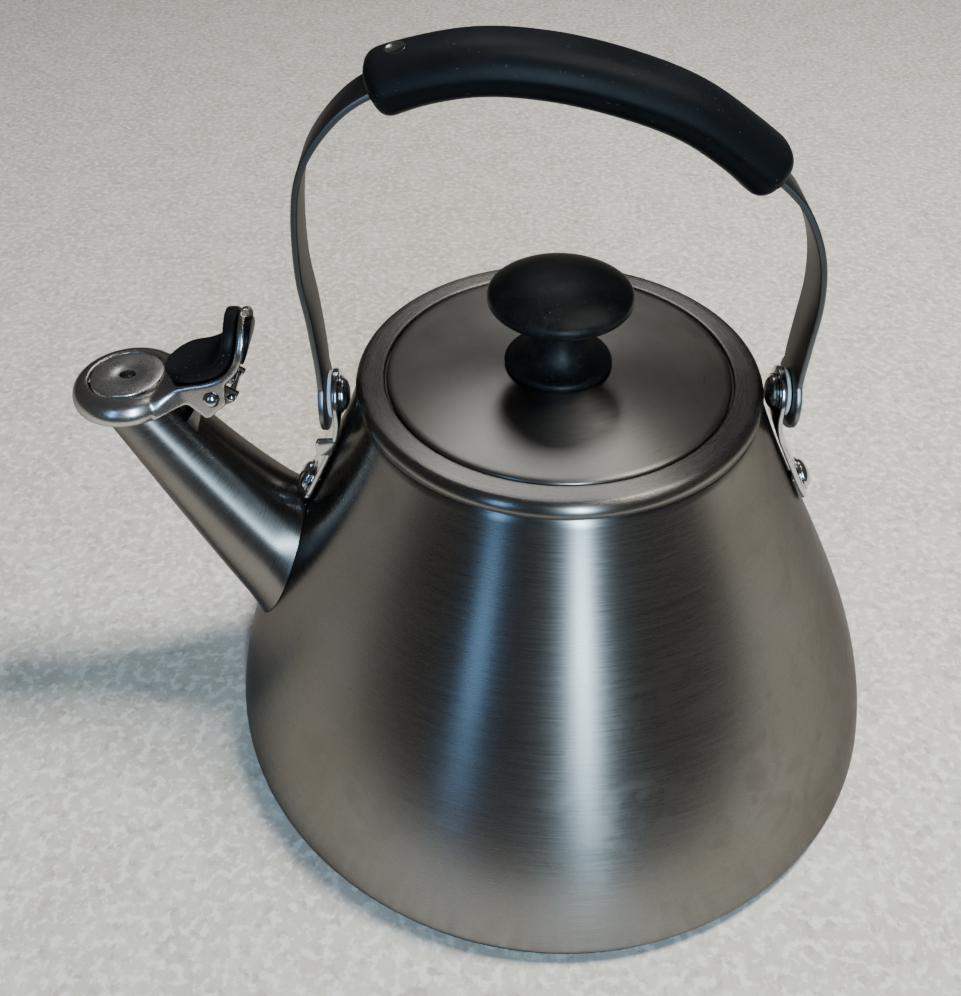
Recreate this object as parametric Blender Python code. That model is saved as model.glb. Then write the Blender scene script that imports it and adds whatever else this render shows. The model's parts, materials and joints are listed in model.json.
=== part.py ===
"""Stovetop whistling kettle, built as separate named solids in metres.

Frame: origin at the centre of the base underside, +Z up, the spout towards -X and the handle
pivots on an axis along X. The handle, the lid and the whistle cap are the moving groups.
"""

import math

import bmesh
import bpy
from mathutils import Matrix, Vector

# ---- driving dimensions (metres) ----
CLEARANCE = 0.0003
SHEET = 0.0009
ROUND_STEPS = 40
SMALL_STEPS = 14

BASE_RADIUS = 0.1015
BASE_CAP_HEIGHT = 0.0030
CORE_RADIUS = 0.0970
CORE_THICKNESS = 0.0014

BODY_RADIUS = 0.1030
BODY_BOTTOM = BASE_CAP_HEIGHT + CLEARANCE
BODY_WIDEST_Z = 0.0056
CREASE_RADIUS = 0.0564
CREASE_Z = 0.1216
RIM_RADIUS = 0.0570
RIM_TOP = 0.1270
RIM_ROUND = 0.0028
RECESS_RADIUS = 0.0487
RECESS_DEPTH = 0.0012
THROAT_RADIUS = 0.0445
THROAT_LIP_Z = 0.1200

LID_RADIUS = 0.0482
LID_SHEET = 0.0008
LID_RISE = 0.0022
LID_HOLE = 0.0023
SKIRT_RADIUS = 0.0437
SKIRT_DEPTH = 0.0135

KNOB_BASE_RADIUS = 0.0150
KNOB_NECK_RADIUS = 0.0076
KNOB_CAP_RADIUS = 0.0200
KNOB_CAP_LIP_Z = 0.1481
KNOB_TOP_Z = 0.1578

SPOUT_ROOT = Vector((-0.0704, 0.0, 0.0455))
SPOUT_ELBOW = Vector((-0.0913, 0.0, 0.0635))
SPOUT_TIP = Vector((-0.1215, 0.0, 0.1180))
SPOUT_RADII = (0.0252, 0.0160, 0.0106)
SPOUT_MOUTH_Z = 0.1178
SPOUT_STEPS = 10
SPOUT_HOLE_MARGIN = 0.0025

CAP_CENTRE_X = -0.1222
CAP_RADIUS = 0.0162
CAP_RIM_Z = 0.1186
CAP_TOP_Z = 0.1256
CAP_HOLE_RADIUS = 0.0109
WHISTLE_HOLE = (0.0024, 0.0019)

HINGE_X = -0.0967
HINGE_Z = 0.1235
HINGE_PIN_RADIUS = 0.0016
LUG_HALF_WIDTH = 0.0060
EAR_INNER_Y = 0.0084
EAR_SHEET = 0.0012
STOP_PIN_RADIUS = 0.0010

PIVOT_Z = 0.1180
BRACKET_X = 0.0622
BRACKET_SHEET = 0.0016
BRACKET_HALF_WIDTH = 0.0076
WASHER_THICKNESS = 0.0010
STRAP_SHEET = 0.0018
STRAP_HALF_WIDTH = 0.0080
STRAP_DISC_RADIUS = 0.0105
RIVET_SHANK = 0.0026
FOOT_RIVET_Z = 0.0855
FOOT_SHANK = 0.0020
FOOT_STAND = 2 * CLEARANCE

GRIP_HALF_WIDTH = 0.0115
GRIP_HALF_HEIGHT = 0.0070
GRIP_TRIM = 1

STRAP_INNER_X = BRACKET_X + BRACKET_SHEET + WASHER_THICKNESS + 2 * CLEARANCE
STRAP_X = STRAP_INNER_X + STRAP_SHEET / 2
LEDGE_Z = RIM_TOP - RECESS_DEPTH


# ---- scene and materials ----
def clear_scene():
    for existing in list(bpy.data.objects):
        bpy.data.objects.remove(existing, do_unlink=True)


def make_material(name, colour, roughness, metallic):
    material = bpy.data.materials.new(name)
    material.use_nodes = True
    shader = material.node_tree.nodes["Principled BSDF"]
    shader.inputs["Base Color"].default_value = (*colour, 1.0)
    shader.inputs["Roughness"].default_value = roughness
    shader.inputs["Metallic"].default_value = metallic
    material.diffuse_color = (*colour, 1.0)
    return material


def make_object(name, bm, material, parent=None):
    """Turn a bmesh built in world coordinates into an object whose origin is its parent's."""
    bmesh.ops.recalc_face_normals(bm, faces=bm.faces)
    mesh = bpy.data.meshes.new(name)
    origin = parent.location.copy() if parent else Vector()
    bmesh.ops.translate(bm, verts=bm.verts, vec=-origin)
    bm.to_mesh(mesh)
    bm.free()
    mesh.shade_smooth()
    mesh.set_sharp_from_angle(angle=math.radians(35))
    if material:
        mesh.materials.append(material)
    piece = bpy.data.objects.new(name, mesh)
    bpy.context.scene.collection.objects.link(piece)
    piece.parent = parent
    return piece


def make_pivot(name, location):
    pivot = bpy.data.objects.new(name, None)
    pivot.location = location
    bpy.context.scene.collection.objects.link(pivot)
    return pivot


def combine(piece, tool, operation="DIFFERENCE"):
    """Keep a live Boolean on the piece and hide the tool solid from the model."""
    modifier = piece.modifiers.new(tool.name, "BOOLEAN")
    modifier.operation = operation
    modifier.solver = "EXACT"
    modifier.object = tool
    tool.hide_render = True
    tool.display_type = "WIRE"


# ---- outlines ----
def arc(centre, radius, start, end, steps):
    """Points on an arc, angles in degrees measured from +X towards +Z."""
    turn = [math.radians(start + (end - start) * i / steps) for i in range(steps + 1)]
    return [(centre[0] + radius * math.cos(a), centre[1] + radius * math.sin(a)) for a in turn]


def curve(points, steps):
    """A Bezier curve with any number of control points, without its last point."""
    order = len(points) - 1
    result = []
    for i in range(steps):
        t = i / steps
        weights = [math.comb(order, k) * t**k * (1 - t) ** (order - k) for k in range(order + 1)]
        result.append(tuple(sum(w * p[axis] for w, p in zip(weights, points)) for axis in range(2)))
    return result


def spline(points, steps):
    """A smooth Catmull-Rom line through every given point."""
    ends = [2 * Vector(points[0]) - Vector(points[1]), 2 * Vector(points[-1]) - Vector(points[-2])]
    knots = [ends[0], *[Vector(p) for p in points], ends[1]]
    result = []
    for a, b, c, d in zip(knots, knots[1:], knots[2:], knots[3:]):
        for i in range(steps):
            t = i / steps
            result.append(0.5 * (2 * b + (c - a) * t + (2 * a - 5 * b + 4 * c - d) * t**2
                                 + (3 * b - a - 3 * c + d) * t**3))
    result.append(knots[-2])
    return result


def offset_path(path, distance):
    """Move a line sideways, to its left, keeping parallel stretches the same distance apart."""
    points = [Vector(p) for p in path]
    sides = []
    for a, b in zip(points, points[1:]):
        along = (b - a).normalized()
        sides.append(Vector((-along.y, along.x)))
    result = []
    for i, point in enumerate(points):
        before = sides[max(i - 1, 0)]
        after = sides[min(i, len(sides) - 1)]
        middle = (before + after).normalized()
        result.append(point + middle * distance / max(middle.dot(before), 0.4))
    return result


# ---- solids ----
def lathe(profile, steps, axis=None):
    """Spin a closed (radius, height) outline around Z, then place it with a matrix."""
    bm = bmesh.new()
    rings = []
    for radius, height in profile:
        if radius < 1e-7:
            rings.append([bm.verts.new((0.0, 0.0, height))])
            continue
        turn = [2 * math.pi * i / steps for i in range(steps)]
        rings.append([bm.verts.new((radius * math.cos(a), radius * math.sin(a), height)) for a in turn])
    for ring, following in zip(rings, rings[1:] + rings[:1]):
        for i in range(steps):
            j = (i + 1) % steps
            if len(ring) == 1 and len(following) == 1:
                break
            if len(ring) == 1:
                bm.faces.new((ring[0], following[j], following[i]))
            elif len(following) == 1:
                bm.faces.new((ring[i], ring[j], following[0]))
            else:
                bm.faces.new((ring[i], ring[j], following[j], following[i]))
    if axis:
        bmesh.ops.transform(bm, matrix=axis, verts=bm.verts)
    return bm


def loft(rings, closed=False):
    """Skin a list of equal rings, joining the last to the first or capping both ends."""
    bm = bmesh.new()
    loops = [[bm.verts.new(point) for point in ring] for ring in rings]
    count = len(loops[0])
    for loop, following in zip(loops, loops[1:] + loops[:1] if closed else loops[1:]):
        for i in range(count):
            j = (i + 1) % count
            bm.faces.new((loop[i], loop[j], following[j], following[i]))
    if not closed:
        bm.faces.new(loops[0])
        bm.faces.new(reversed(loops[-1]))
    return bm


def sweep_flat(path, section):
    """Sweep a section along a line in the XZ plane; section(share) lists (across, normal) pairs."""
    rings = []
    last = len(path) - 1
    for i, point in enumerate(path):
        along = (path[min(i + 1, last)] - path[max(i - 1, 0)]).normalized()
        normal = Vector((-along.y, 0.0, along.x))
        centre = Vector((point.x, 0.0, point.y))
        outline = section(i / last)
        rings.append([centre + Vector((0.0, across, 0.0)) + normal * out for across, out in outline])
    return loft(rings)


def extrude_profile(outline, y_low, y_high):
    """A plate whose XZ outline runs between two Y planes."""
    return loft([[Vector((x, y, z)) for x, z in outline] for y in (y_low, y_high)])


def along_axis(point, direction):
    """A matrix that puts a lathe's foot at point, with its +Z along direction."""
    turn = Vector(direction).to_track_quat("Z", "Y").to_matrix().to_4x4()
    return Matrix.Translation(Vector(point)) @ turn


def rectangle(half_width, half_height):
    def section(_share):
        return [(-half_width, -half_height), (half_width, -half_height),
                (half_width, half_height), (-half_width, half_height)]
    return section


def cylinder_tool(name, radius, point, direction, length):
    outline = [(0.0, 0.0), (radius, 0.0), (radius, length), (0.0, length)]
    placed = along_axis(point, direction) @ Matrix.Rotation(math.radians(4), 4, "Z")
    return make_object(name, lathe(outline, SMALL_STEPS, placed), None)


# ---- body ----
def flank(steps):
    """The bell-shaped flank: bulging above the base and hollow under the rim."""
    return curve([(BODY_RADIUS, BODY_WIDEST_Z), (0.0990, 0.0410), (0.0702, 0.0815),
                  (CREASE_RADIUS + 0.0004, CREASE_Z)], steps)


def flank_radius(height):
    points = flank(60)
    for (low_radius, low), (high_radius, high) in zip(points, points[1:]):
        if high >= height:
            break
    return low_radius + (high_radius - low_radius) * (height - low) / (high - low)


def flank_normal(height):
    rise = 0.002
    slope = (flank_radius(height - rise) - flank_radius(height + rise)) / (2 * rise)
    return Vector((1.0, slope)).normalized()


def body_outline():
    """The outer face of the shell, from the middle of its bottom up to the throat lip."""
    corner = BODY_RADIUS - BASE_RADIUS
    edge = arc((BASE_RADIUS, BODY_BOTTOM + corner), corner, -90, -20, 2)
    rim_start = (RIM_RADIUS, CREASE_Z + 0.0008)
    rim = arc((RIM_RADIUS - RIM_ROUND, RIM_TOP - RIM_ROUND), RIM_ROUND, 0, 90, 3)
    recess = [(RECESS_RADIUS + SHEET, RIM_TOP), (RECESS_RADIUS, RIM_TOP - 0.0003), (RECESS_RADIUS, LEDGE_Z)]
    throat = [(THROAT_RADIUS, LEDGE_Z), (THROAT_RADIUS, THROAT_LIP_Z)]
    crease = (CREASE_RADIUS, CREASE_Z)
    return [(0.0, BODY_BOTTOM), *edge, *flank(8), crease, rim_start, *rim, *recess, *throat]


def spout_centre(t):
    return (1 - t) ** 2 * SPOUT_ROOT + 2 * t * (1 - t) * SPOUT_ELBOW + t**2 * SPOUT_TIP


def spout_radius(t):
    root, elbow, tip = SPOUT_RADII
    return (1 - t) ** 2 * root + 2 * t * (1 - t) * elbow + t**2 * tip


def spout_rings(grow, start=-0.15, end=1.15):
    """Rings of the spout's round section, grown or shrunk, running past both of its ends."""
    rings = []
    for i in range(SPOUT_STEPS + 1):
        t = start + (end - start) * i / SPOUT_STEPS
        along = (spout_centre(t + 0.01) - spout_centre(t - 0.01)).normalized()
        side = Vector((0.0, 1.0, 0.0))
        up = along.cross(side)
        radius = spout_radius(t) + grow
        turn = [2 * math.pi * k / 24 for k in range(24)]
        rings.append([spout_centre(t) + radius * (math.cos(a) * side + math.sin(a) * up) for a in turn])
    return rings


def make_body(steel, foot_rivets):
    outer = body_outline()
    inner = [tuple(p) for p in reversed(offset_path(outer, SHEET))]
    inner[-1] = (0.0, BODY_BOTTOM + SHEET)
    body = make_object("kettle_body", lathe(outer + inner, ROUND_STEPS), steel)
    passage = make_object("spout_passage_tool", loft(spout_rings(-SPOUT_HOLE_MARGIN, end=0.62)), None)
    combine(body, passage)
    for label, point, direction in foot_rivets:
        start = Vector(point) - 0.006 * Vector(direction)
        combine(body, cylinder_tool(f"body_hole_{label}", FOOT_SHANK + CLEARANCE, start, direction, 0.012))
    return body


def make_base(aluminium, dark_steel):
    floor = BASE_CAP_HEIGHT - CORE_THICKNESS - CLEARANCE
    core = [(0.0, floor + CLEARANCE), (CORE_RADIUS, floor + CLEARANCE),
            (CORE_RADIUS, BASE_CAP_HEIGHT), (0.0, BASE_CAP_HEIGHT)]
    make_object("base_core", lathe(core, ROUND_STEPS), aluminium)
    wall = CORE_RADIUS + CLEARANCE
    corner = arc((BASE_RADIUS - 0.0012, 0.0012), 0.0012, -90, 0, 3)
    cap = [(0.0, 0.0), *corner, (BASE_RADIUS, BASE_CAP_HEIGHT), (wall, BASE_CAP_HEIGHT),
           (wall, floor), (0.0, floor)]
    make_object("base_cap", lathe(cap, ROUND_STEPS), dark_steel)


def make_spout(steel):
    tube = [*spout_rings(0.0), *reversed(spout_rings(-SHEET))]
    spout = make_object("spout_tube", loft(tube, closed=True), steel)
    flank_wall = [(0.0, -0.01), (BODY_RADIUS - 0.002, -0.01)]
    flank_wall += [(radius + CLEARANCE, height) for radius, height in flank(16)]
    flank_wall += [(CREASE_RADIUS, CREASE_Z), (0.0, CREASE_Z)]
    combine(spout, make_object("spout_root_tool", lathe(flank_wall, 120), None))
    above = [(SPOUT_TIP.x - 0.04, SPOUT_MOUTH_Z), (SPOUT_TIP.x + 0.04, SPOUT_MOUTH_Z),
             (SPOUT_TIP.x + 0.04, SPOUT_MOUTH_Z + 0.04), (SPOUT_TIP.x - 0.04, SPOUT_MOUTH_Z + 0.04)]
    combine(spout, make_object("spout_mouth_tool", extrude_profile(above, -0.03, 0.03), None))


# ---- handle brackets, rivets and washers ----
def foot_seats():
    """Where each foot rivet meets the flank: label, point on the flank and outward direction."""
    normal = flank_normal(FOOT_RIVET_Z)
    radius = flank_radius(FOOT_RIVET_Z)
    seats = []
    for label, side in (("front", -1), ("rear", 1)):
        seats.append((label, (side * radius, 0.0, FOOT_RIVET_Z), (side * normal.x, 0.0, normal.y)))
    return seats


def bracket_line():
    """The middle of the bracket sheet at +X, from its head down along the flank to its foot."""
    half = BRACKET_SHEET / 2
    head = [(BRACKET_X + half, PIVOT_Z + BRACKET_HALF_WIDTH), (BRACKET_X + half, PIVOT_Z)]
    bend_z = 0.1085
    line = [*head, (BRACKET_X + half, bend_z + 0.003)]
    for i in range(7):
        height = bend_z - 0.003 - i * 0.0044
        normal = flank_normal(height)
        stand = half + FOOT_STAND
        line.append((flank_radius(height) + normal.x * stand, height + normal.y * stand))
    return [Vector(p) for p in line]


def round_end_plate(length, half_width, sheet, steps=12):
    """A flat plate from z=0 down to -length, with a half-round end beyond each."""
    outline = [(half_width * math.cos(a), half_width * math.sin(a))
               for a in [math.pi * i / steps for i in range(steps + 1)]]
    outline += [(half_width * math.cos(a), -length + half_width * math.sin(a))
                for a in [math.pi + math.pi * i / steps for i in range(steps + 1)]]
    return loft([[Vector((x, y, z)) for y, z in outline] for x in (-sheet / 2, sheet / 2)])


def make_bracket(label, side, tab_side, steel, seat):
    line = bracket_line()
    if side < 0:
        line = [Vector((-p.x, p.y)) for p in reversed(line)]
    plate = make_object(f"bracket_{label}",
                        sweep_flat(line, rectangle(BRACKET_HALF_WIDTH, BRACKET_SHEET / 2)), steel)
    foot_z = line[0].y if side < 0 else line[-1].y
    keep = round_end_plate(PIVOT_Z - foot_z - BRACKET_HALF_WIDTH * 0.9, BRACKET_HALF_WIDTH, 0.06)
    bmesh.ops.translate(keep, verts=keep.verts, vec=(side * BRACKET_X, 0.0, PIVOT_Z))
    combine(plate, make_object(f"bracket_outline_{label}", keep, None), "INTERSECT")
    outer = BRACKET_X + BRACKET_SHEET
    tab_reach = 0.0058
    tab = [(side * (outer + 0.0020), 0.1018), (side * (outer + tab_reach), 0.1018),
           (side * (outer + tab_reach), 0.1066), (side * (outer + tab_reach - 0.0012), 0.1078),
           (side * (outer - 0.0004), 0.1078)]
    low = tab_side * (BRACKET_HALF_WIDTH - BRACKET_SHEET)
    high = tab_side * (BRACKET_HALF_WIDTH + 0.0009)
    tab_solid = extrude_profile(tab, min(low, high), max(low, high))
    combine(plate, make_object(f"bracket_tab_{label}", tab_solid, None), "UNION")
    start = (side * (BRACKET_X - 0.004), 0.0, PIVOT_Z)
    pivot_hole = cylinder_tool(f"bracket_pivot_hole_{label}", RIVET_SHANK + CLEARANCE, start,
                               (side, 0, 0), 0.012)
    combine(plate, pivot_hole)
    _, point, direction = seat
    start = Vector(point) - 0.006 * Vector(direction)
    combine(plate, cylinder_tool(f"bracket_foot_hole_{label}", FOOT_SHANK + CLEARANCE, start, direction, 0.014))


def rivet_outline(shank, length, head_radius, head_height, tail_radius, tail_height):
    """A dome head below z=0, a shank up to z=length and a low tail head above it."""
    dome = [(head_radius * math.sin(a), -head_height * math.cos(a))
            for a in [math.pi / 2 * i / 5 for i in range(6)]]
    tail = [(tail_radius * math.cos(a), length + tail_height * math.sin(a))
            for a in [math.pi / 2 * i / 3 for i in range(4)]]
    tail[-1] = (0.0, length + tail_height)
    dome[0] = (0.0, -head_height)
    return [*dome, (shank, 0.0), (shank, length), *tail]


def make_rivets(side, label, bright, seat):
    start = side * (BRACKET_X - CLEARANCE)
    length = STRAP_INNER_X + STRAP_SHEET + CLEARANCE - (BRACKET_X - CLEARANCE)
    outline = rivet_outline(RIVET_SHANK, length, 0.0056, 0.0027, 0.0042, 0.0012)
    make_object(f"pivot_rivet_{label}",
                lathe(outline, SMALL_STEPS, along_axis((start, 0.0, PIVOT_Z), (side, 0, 0))), bright)
    _, point, direction = seat
    outside = FOOT_STAND + BRACKET_SHEET + CLEARANCE
    length = outside + SHEET + CLEARANCE
    outline = rivet_outline(FOOT_SHANK, length, 0.0052, 0.0028, 0.0034, 0.0008)
    foot = Vector(point) + outside * Vector(direction)
    make_object(f"foot_rivet_{label}",
                lathe(outline, SMALL_STEPS, along_axis(foot, -Vector(direction))), bright)


def make_washer(side, label, nylon, handle):
    inner = RIVET_SHANK + CLEARANCE
    start = side * (BRACKET_X + BRACKET_SHEET + CLEARANCE)
    ring = [(inner, 0.0), (0.0068, 0.0), (0.0068, WASHER_THICKNESS), (inner, WASHER_THICKNESS)]
    placed = along_axis((start, 0.0, PIVOT_Z), (side, 0, 0))
    make_object(f"pivot_washer_{label}", lathe(ring, SMALL_STEPS, placed), nylon, handle)


# ---- handle ----
def grip_line():
    """The middle line of the grip in XZ, high at the spout end and lower at the rear."""
    return [(-0.0502, 0.2094), (-0.0400, 0.2133), (-0.0220, 0.2164), (-0.0040, 0.2150),
            (0.0140, 0.2104), (0.0300, 0.2038), (0.0440, 0.1940), (0.0555, 0.1845)]


def strap_line():
    """The middle of the strap in XZ, from the front pivot over the grip to the rear pivot."""
    front = [(-STRAP_X, PIVOT_Z), (-STRAP_X, PIVOT_Z + 0.013), (-0.0672, 0.1470), (-0.0686, 0.1620),
             (-0.0678, 0.1800), (-0.0650, 0.1920), (-0.0585, 0.2020)]
    rear = [(0.0615, 0.1765), (0.0660, 0.1650), (0.0676, 0.1520), (0.0669, 0.1380),
            (STRAP_X, PIVOT_Z + 0.010), (STRAP_X, PIVOT_Z)]
    return [*front, *grip_line(), *rear]


def grip_section(share):
    """A lens-shaped section with a soft edge along each side, drawn in at both ends."""
    from_end = min(share, 1 - share)
    fullness = 1 - 0.22 * max(0.0, 1 - from_end / 0.09) ** 2
    corner = 1 - 0.30 * max(0.0, 1 - from_end / 0.03) ** 2
    points = []
    for i in range(16):
        a = 2 * math.pi * i / 16
        across = math.copysign(abs(math.cos(a)) ** 0.92, math.cos(a))
        out = math.copysign(abs(math.sin(a)) ** 0.86, math.sin(a))
        points.append((across * GRIP_HALF_WIDTH * fullness * corner,
                       out * GRIP_HALF_HEIGHT * fullness * corner))
    return points


def make_handle(steel, rubber, badge_steel, handle):
    path = spline(strap_line(), 2)
    strap = make_object("handle_strap",
                        sweep_flat(path, rectangle(STRAP_HALF_WIDTH, STRAP_SHEET / 2)), steel, handle)
    for label, side in (("front", -1), ("rear", 1)):
        disc = [(0.0, 0.0), (STRAP_DISC_RADIUS, 0.0), (STRAP_DISC_RADIUS, STRAP_SHEET), (0.0, STRAP_SHEET)]
        placed = along_axis((side * STRAP_INNER_X, 0.0, PIVOT_Z), (side, 0, 0))
        combine(strap, make_object(f"strap_disc_{label}", lathe(disc, 32, placed), None, handle), "UNION")
        start = (side * (STRAP_INNER_X - 0.003), 0.0, PIVOT_Z)
        hole = cylinder_tool(f"strap_hole_{label}", RIVET_SHANK + CLEARANCE, start, (side, 0, 0), 0.009)
        combine(strap, hole)
    middle = spline(grip_line(), 4)[GRIP_TRIM:-GRIP_TRIM:2]
    grip = make_object("handle_grip", sweep_flat(middle, grip_section), rubber, handle)
    slot = rectangle(STRAP_HALF_WIDTH + CLEARANCE, STRAP_SHEET / 2 + CLEARANCE)
    combine(grip, make_object("grip_slot_tool", sweep_flat(path[6:-6], slot), None, handle))
    window_point = (0.0040, 0.0, 0.1990)
    window = cylinder_tool("grip_window_tool", 0.0026, window_point, (0.2, 0, 1), 0.013)
    combine(grip, window)
    badge_axis = Vector((-0.22, 0.0, 1.0)).normalized()
    seat = Vector((-0.0405, 0.0, 0.21935))
    pocket = cylinder_tool("grip_badge_tool", 0.0033 + CLEARANCE, seat, badge_axis, 0.004)
    combine(grip, pocket)
    dome = [(0.0, CLEARANCE), (0.0033, CLEARANCE), (0.0033, 0.0008), (0.0022, 0.0012), (0.0, 0.0013)]
    make_object("grip_badge", lathe(dome, SMALL_STEPS, along_axis(seat, badge_axis)), badge_steel, handle)


# ---- lid and knob ----
def lid_top(radius):
    return RIM_TOP + LID_RISE * (1 - (radius / LID_RADIUS) ** 2)


def make_lid(steel, bright, lid):
    radii = [LID_HOLE, 0.018, 0.034, LID_RADIUS - 0.0004]
    top = [(radius, lid_top(radius)) for radius in radii]
    bottom = [(radius, lid_top(radius) - LID_SHEET) for radius in reversed(radii)]
    edge = [(LID_RADIUS, RIM_TOP - 0.0003), (LID_RADIUS, RIM_TOP - LID_SHEET + 0.0002)]
    make_object("lid_plate", lathe([*top, *edge, *bottom], ROUND_STEPS), steel, lid)
    flange_top = lid_top(SKIRT_RADIUS) - LID_SHEET - CLEARANCE
    skirt_foot = flange_top - SKIRT_DEPTH
    inner = SKIRT_RADIUS - LID_SHEET
    skirt = [(SKIRT_RADIUS, flange_top), (SKIRT_RADIUS, skirt_foot + 0.0012), (SKIRT_RADIUS - 0.0012, skirt_foot),
             (inner - 0.0012, skirt_foot), (inner, skirt_foot + 0.0012), (inner, flange_top - LID_SHEET),
             (inner - 0.006, flange_top - LID_SHEET), (inner - 0.006, flange_top)]
    make_object("lid_skirt", lathe(skirt, ROUND_STEPS), steel, lid)
    under = lid_top(0.0) - LID_SHEET - CLEARANCE - 0.0002
    washer = [(LID_HOLE, under - 0.0012), (0.0070, under - 0.0012), (0.0104, under - 0.0006),
              (0.0104, under), (0.0070, under), (LID_HOLE, under)]
    make_object("lid_washer", lathe(washer, SMALL_STEPS), bright, lid)
    head = under - 0.0012 - CLEARANCE
    shank = LID_HOLE - CLEARANCE
    screw = [(0.0, head - 0.0024), (0.0030, head - 0.0022), (0.0042, head - 0.0010), (0.0042, head),
             (shank, head), (shank, KNOB_CAP_LIP_Z - 0.0052), (0.0, KNOB_CAP_LIP_Z - 0.0048)]
    make_object("lid_screw", lathe(screw, SMALL_STEPS), bright, lid)


def make_knob(plastic, lid):
    foot = lid_top(KNOB_BASE_RADIUS) + CLEARANCE
    hole_foot = lid_top(0.0) + CLEARANCE
    top = KNOB_CAP_LIP_Z - 0.0006
    bore_top = KNOB_CAP_LIP_Z - 0.0042
    skin = [(KNOB_BASE_RADIUS - 0.0006, foot), (KNOB_BASE_RADIUS, foot + 0.0006), (KNOB_BASE_RADIUS, foot + 0.0014)]
    flare = curve([(KNOB_BASE_RADIUS - 0.0005, foot + 0.0020), (0.0094, foot + 0.0036),
                   (KNOB_NECK_RADIUS - 0.0008, foot + 0.0070), (KNOB_NECK_RADIUS, top - 0.0030)], 5)
    neck = [(KNOB_NECK_RADIUS, top - 0.0030), (KNOB_NECK_RADIUS + 0.0010, top)]
    bore = [(0.0, top), (0.0, bore_top), (LID_HOLE, bore_top), (LID_HOLE, hole_foot)]
    make_object("knob_base", lathe([*skin, *flare, *neck, *bore], 24), plastic, lid)
    lip = KNOB_CAP_LIP_Z
    under = [(0.0, lip - CLEARANCE), (KNOB_CAP_RADIUS - 0.0036, lip - CLEARANCE),
             (KNOB_CAP_RADIUS - 0.0032, lip + 0.0006)]
    edge = arc((KNOB_CAP_RADIUS - 0.0023, lip + 0.0030), 0.0023, -80, 50, 4)
    dome = curve([edge[-1], (0.0150, lip + 0.0072), (0.0080, KNOB_TOP_Z), (0.0, KNOB_TOP_Z)], 4)
    make_object("knob_cap", lathe([*under, *edge, *dome[1:], (0.0, KNOB_TOP_Z)], 32), plastic, lid)


# ---- whistle ----
def lever_line():
    """The middle of the lever sheet in XZ, from the cap over the hinge up to the thumb end."""
    return [(-0.1110, 0.1250), (-0.1040, 0.1272), (-0.0975, 0.1284), (-0.0925, 0.1308),
            (-0.0890, 0.1352), (-0.0873, 0.1410), (-0.0870, 0.1466)]


def hinge_hole(name, radius, parent=None):
    start = (HINGE_X, -0.015, HINGE_Z)
    outline = [(0.0, 0.0), (radius, 0.0), (radius, 0.03), (0.0, 0.03)]
    return make_object(name, lathe(outline, SMALL_STEPS, along_axis(start, (0, 1, 0))), None, parent)


def at_cap(z=0.0):
    return Matrix.Translation((CAP_CENTRE_X, 0.0, z))


def make_whistle_cap(steel, whistle):
    sheet = 0.0011
    skin = arc((CAP_RADIUS - 0.0042, CAP_TOP_Z - 0.0046), 0.0042, 0, 78, 3)
    outer = [(CAP_RADIUS - 0.0014, CAP_RIM_Z), (CAP_RADIUS - 0.0003, CAP_RIM_Z + 0.0007), *skin,
             (CAP_HOLE_RADIUS, CAP_TOP_Z)]
    inner = [(CAP_HOLE_RADIUS, CAP_TOP_Z - sheet), (CAP_RADIUS - 0.0052, CAP_TOP_Z - sheet - 0.0003),
             (CAP_RADIUS - 0.0024, CAP_TOP_Z - 0.0030), (CAP_RADIUS - 0.0018, CAP_RIM_Z + 0.0012)]
    cap = make_object("whistle_cap", lathe([*outer, *inner], 32, at_cap()), steel, whistle)
    lever = sweep_flat(spline(lever_line(), 3), rectangle(EAR_INNER_Y + EAR_SHEET, EAR_SHEET / 2))
    combine(cap, make_object("lever_strip_tool", lever, None, whistle), "UNION")
    ear = [(-0.1090, 0.1214), (-0.1046, 0.1212), (-0.1000, 0.1182), (-0.0972, 0.1172), (-0.0945, 0.1184),
           (-0.0932, 0.1220), (-0.0921, 0.1300), (-0.0975, 0.1281), (-0.1040, 0.1270), (-0.1090, 0.1254)]
    for label, low in (("near", -EAR_INNER_Y - EAR_SHEET), ("far", EAR_INNER_Y)):
        plate = extrude_profile(ear, low, low + EAR_SHEET)
        combine(cap, make_object(f"lever_ear_{label}", plate, None, whistle), "UNION")
    combine(cap, hinge_hole("lever_hinge_hole", HINGE_PIN_RADIUS + CLEARANCE, whistle))


def make_whistle_discs(bright, steel, whistle):
    rim = CAP_HOLE_RADIUS - CLEARANCE - 0.0002
    foot = CAP_TOP_Z - 0.0016
    upper = [(0.0, foot), (rim, foot), (rim, CAP_TOP_Z - 0.0002), (rim - 0.0006, CAP_TOP_Z + 0.0002),
             (0.0050, CAP_TOP_Z + 0.0003), (0.0, CAP_TOP_Z + 0.0003)]
    disc = make_object("whistle_disc_upper", lathe(upper, 24, at_cap()), bright, whistle)
    oval = Matrix.Diagonal((WHISTLE_HOLE[0], WHISTLE_HOLE[1], 1.0, 1.0))
    hole = lathe([(0.0, -0.004), (1.0, -0.004), (1.0, 0.004), (0.0, 0.004)], 20, at_cap(CAP_TOP_Z) @ oval)
    combine(disc, make_object("whistle_hole_tool", hole, None, whistle))
    rim = CAP_RADIUS - 0.0030
    low = CAP_RIM_Z + 0.0012
    lower = [(0.0016, low), (rim, low), (rim, low + 0.0009), (0.0016, low + 0.0009)]
    make_object("whistle_disc_lower", lathe(lower, 24, at_cap()), steel, whistle)


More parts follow.
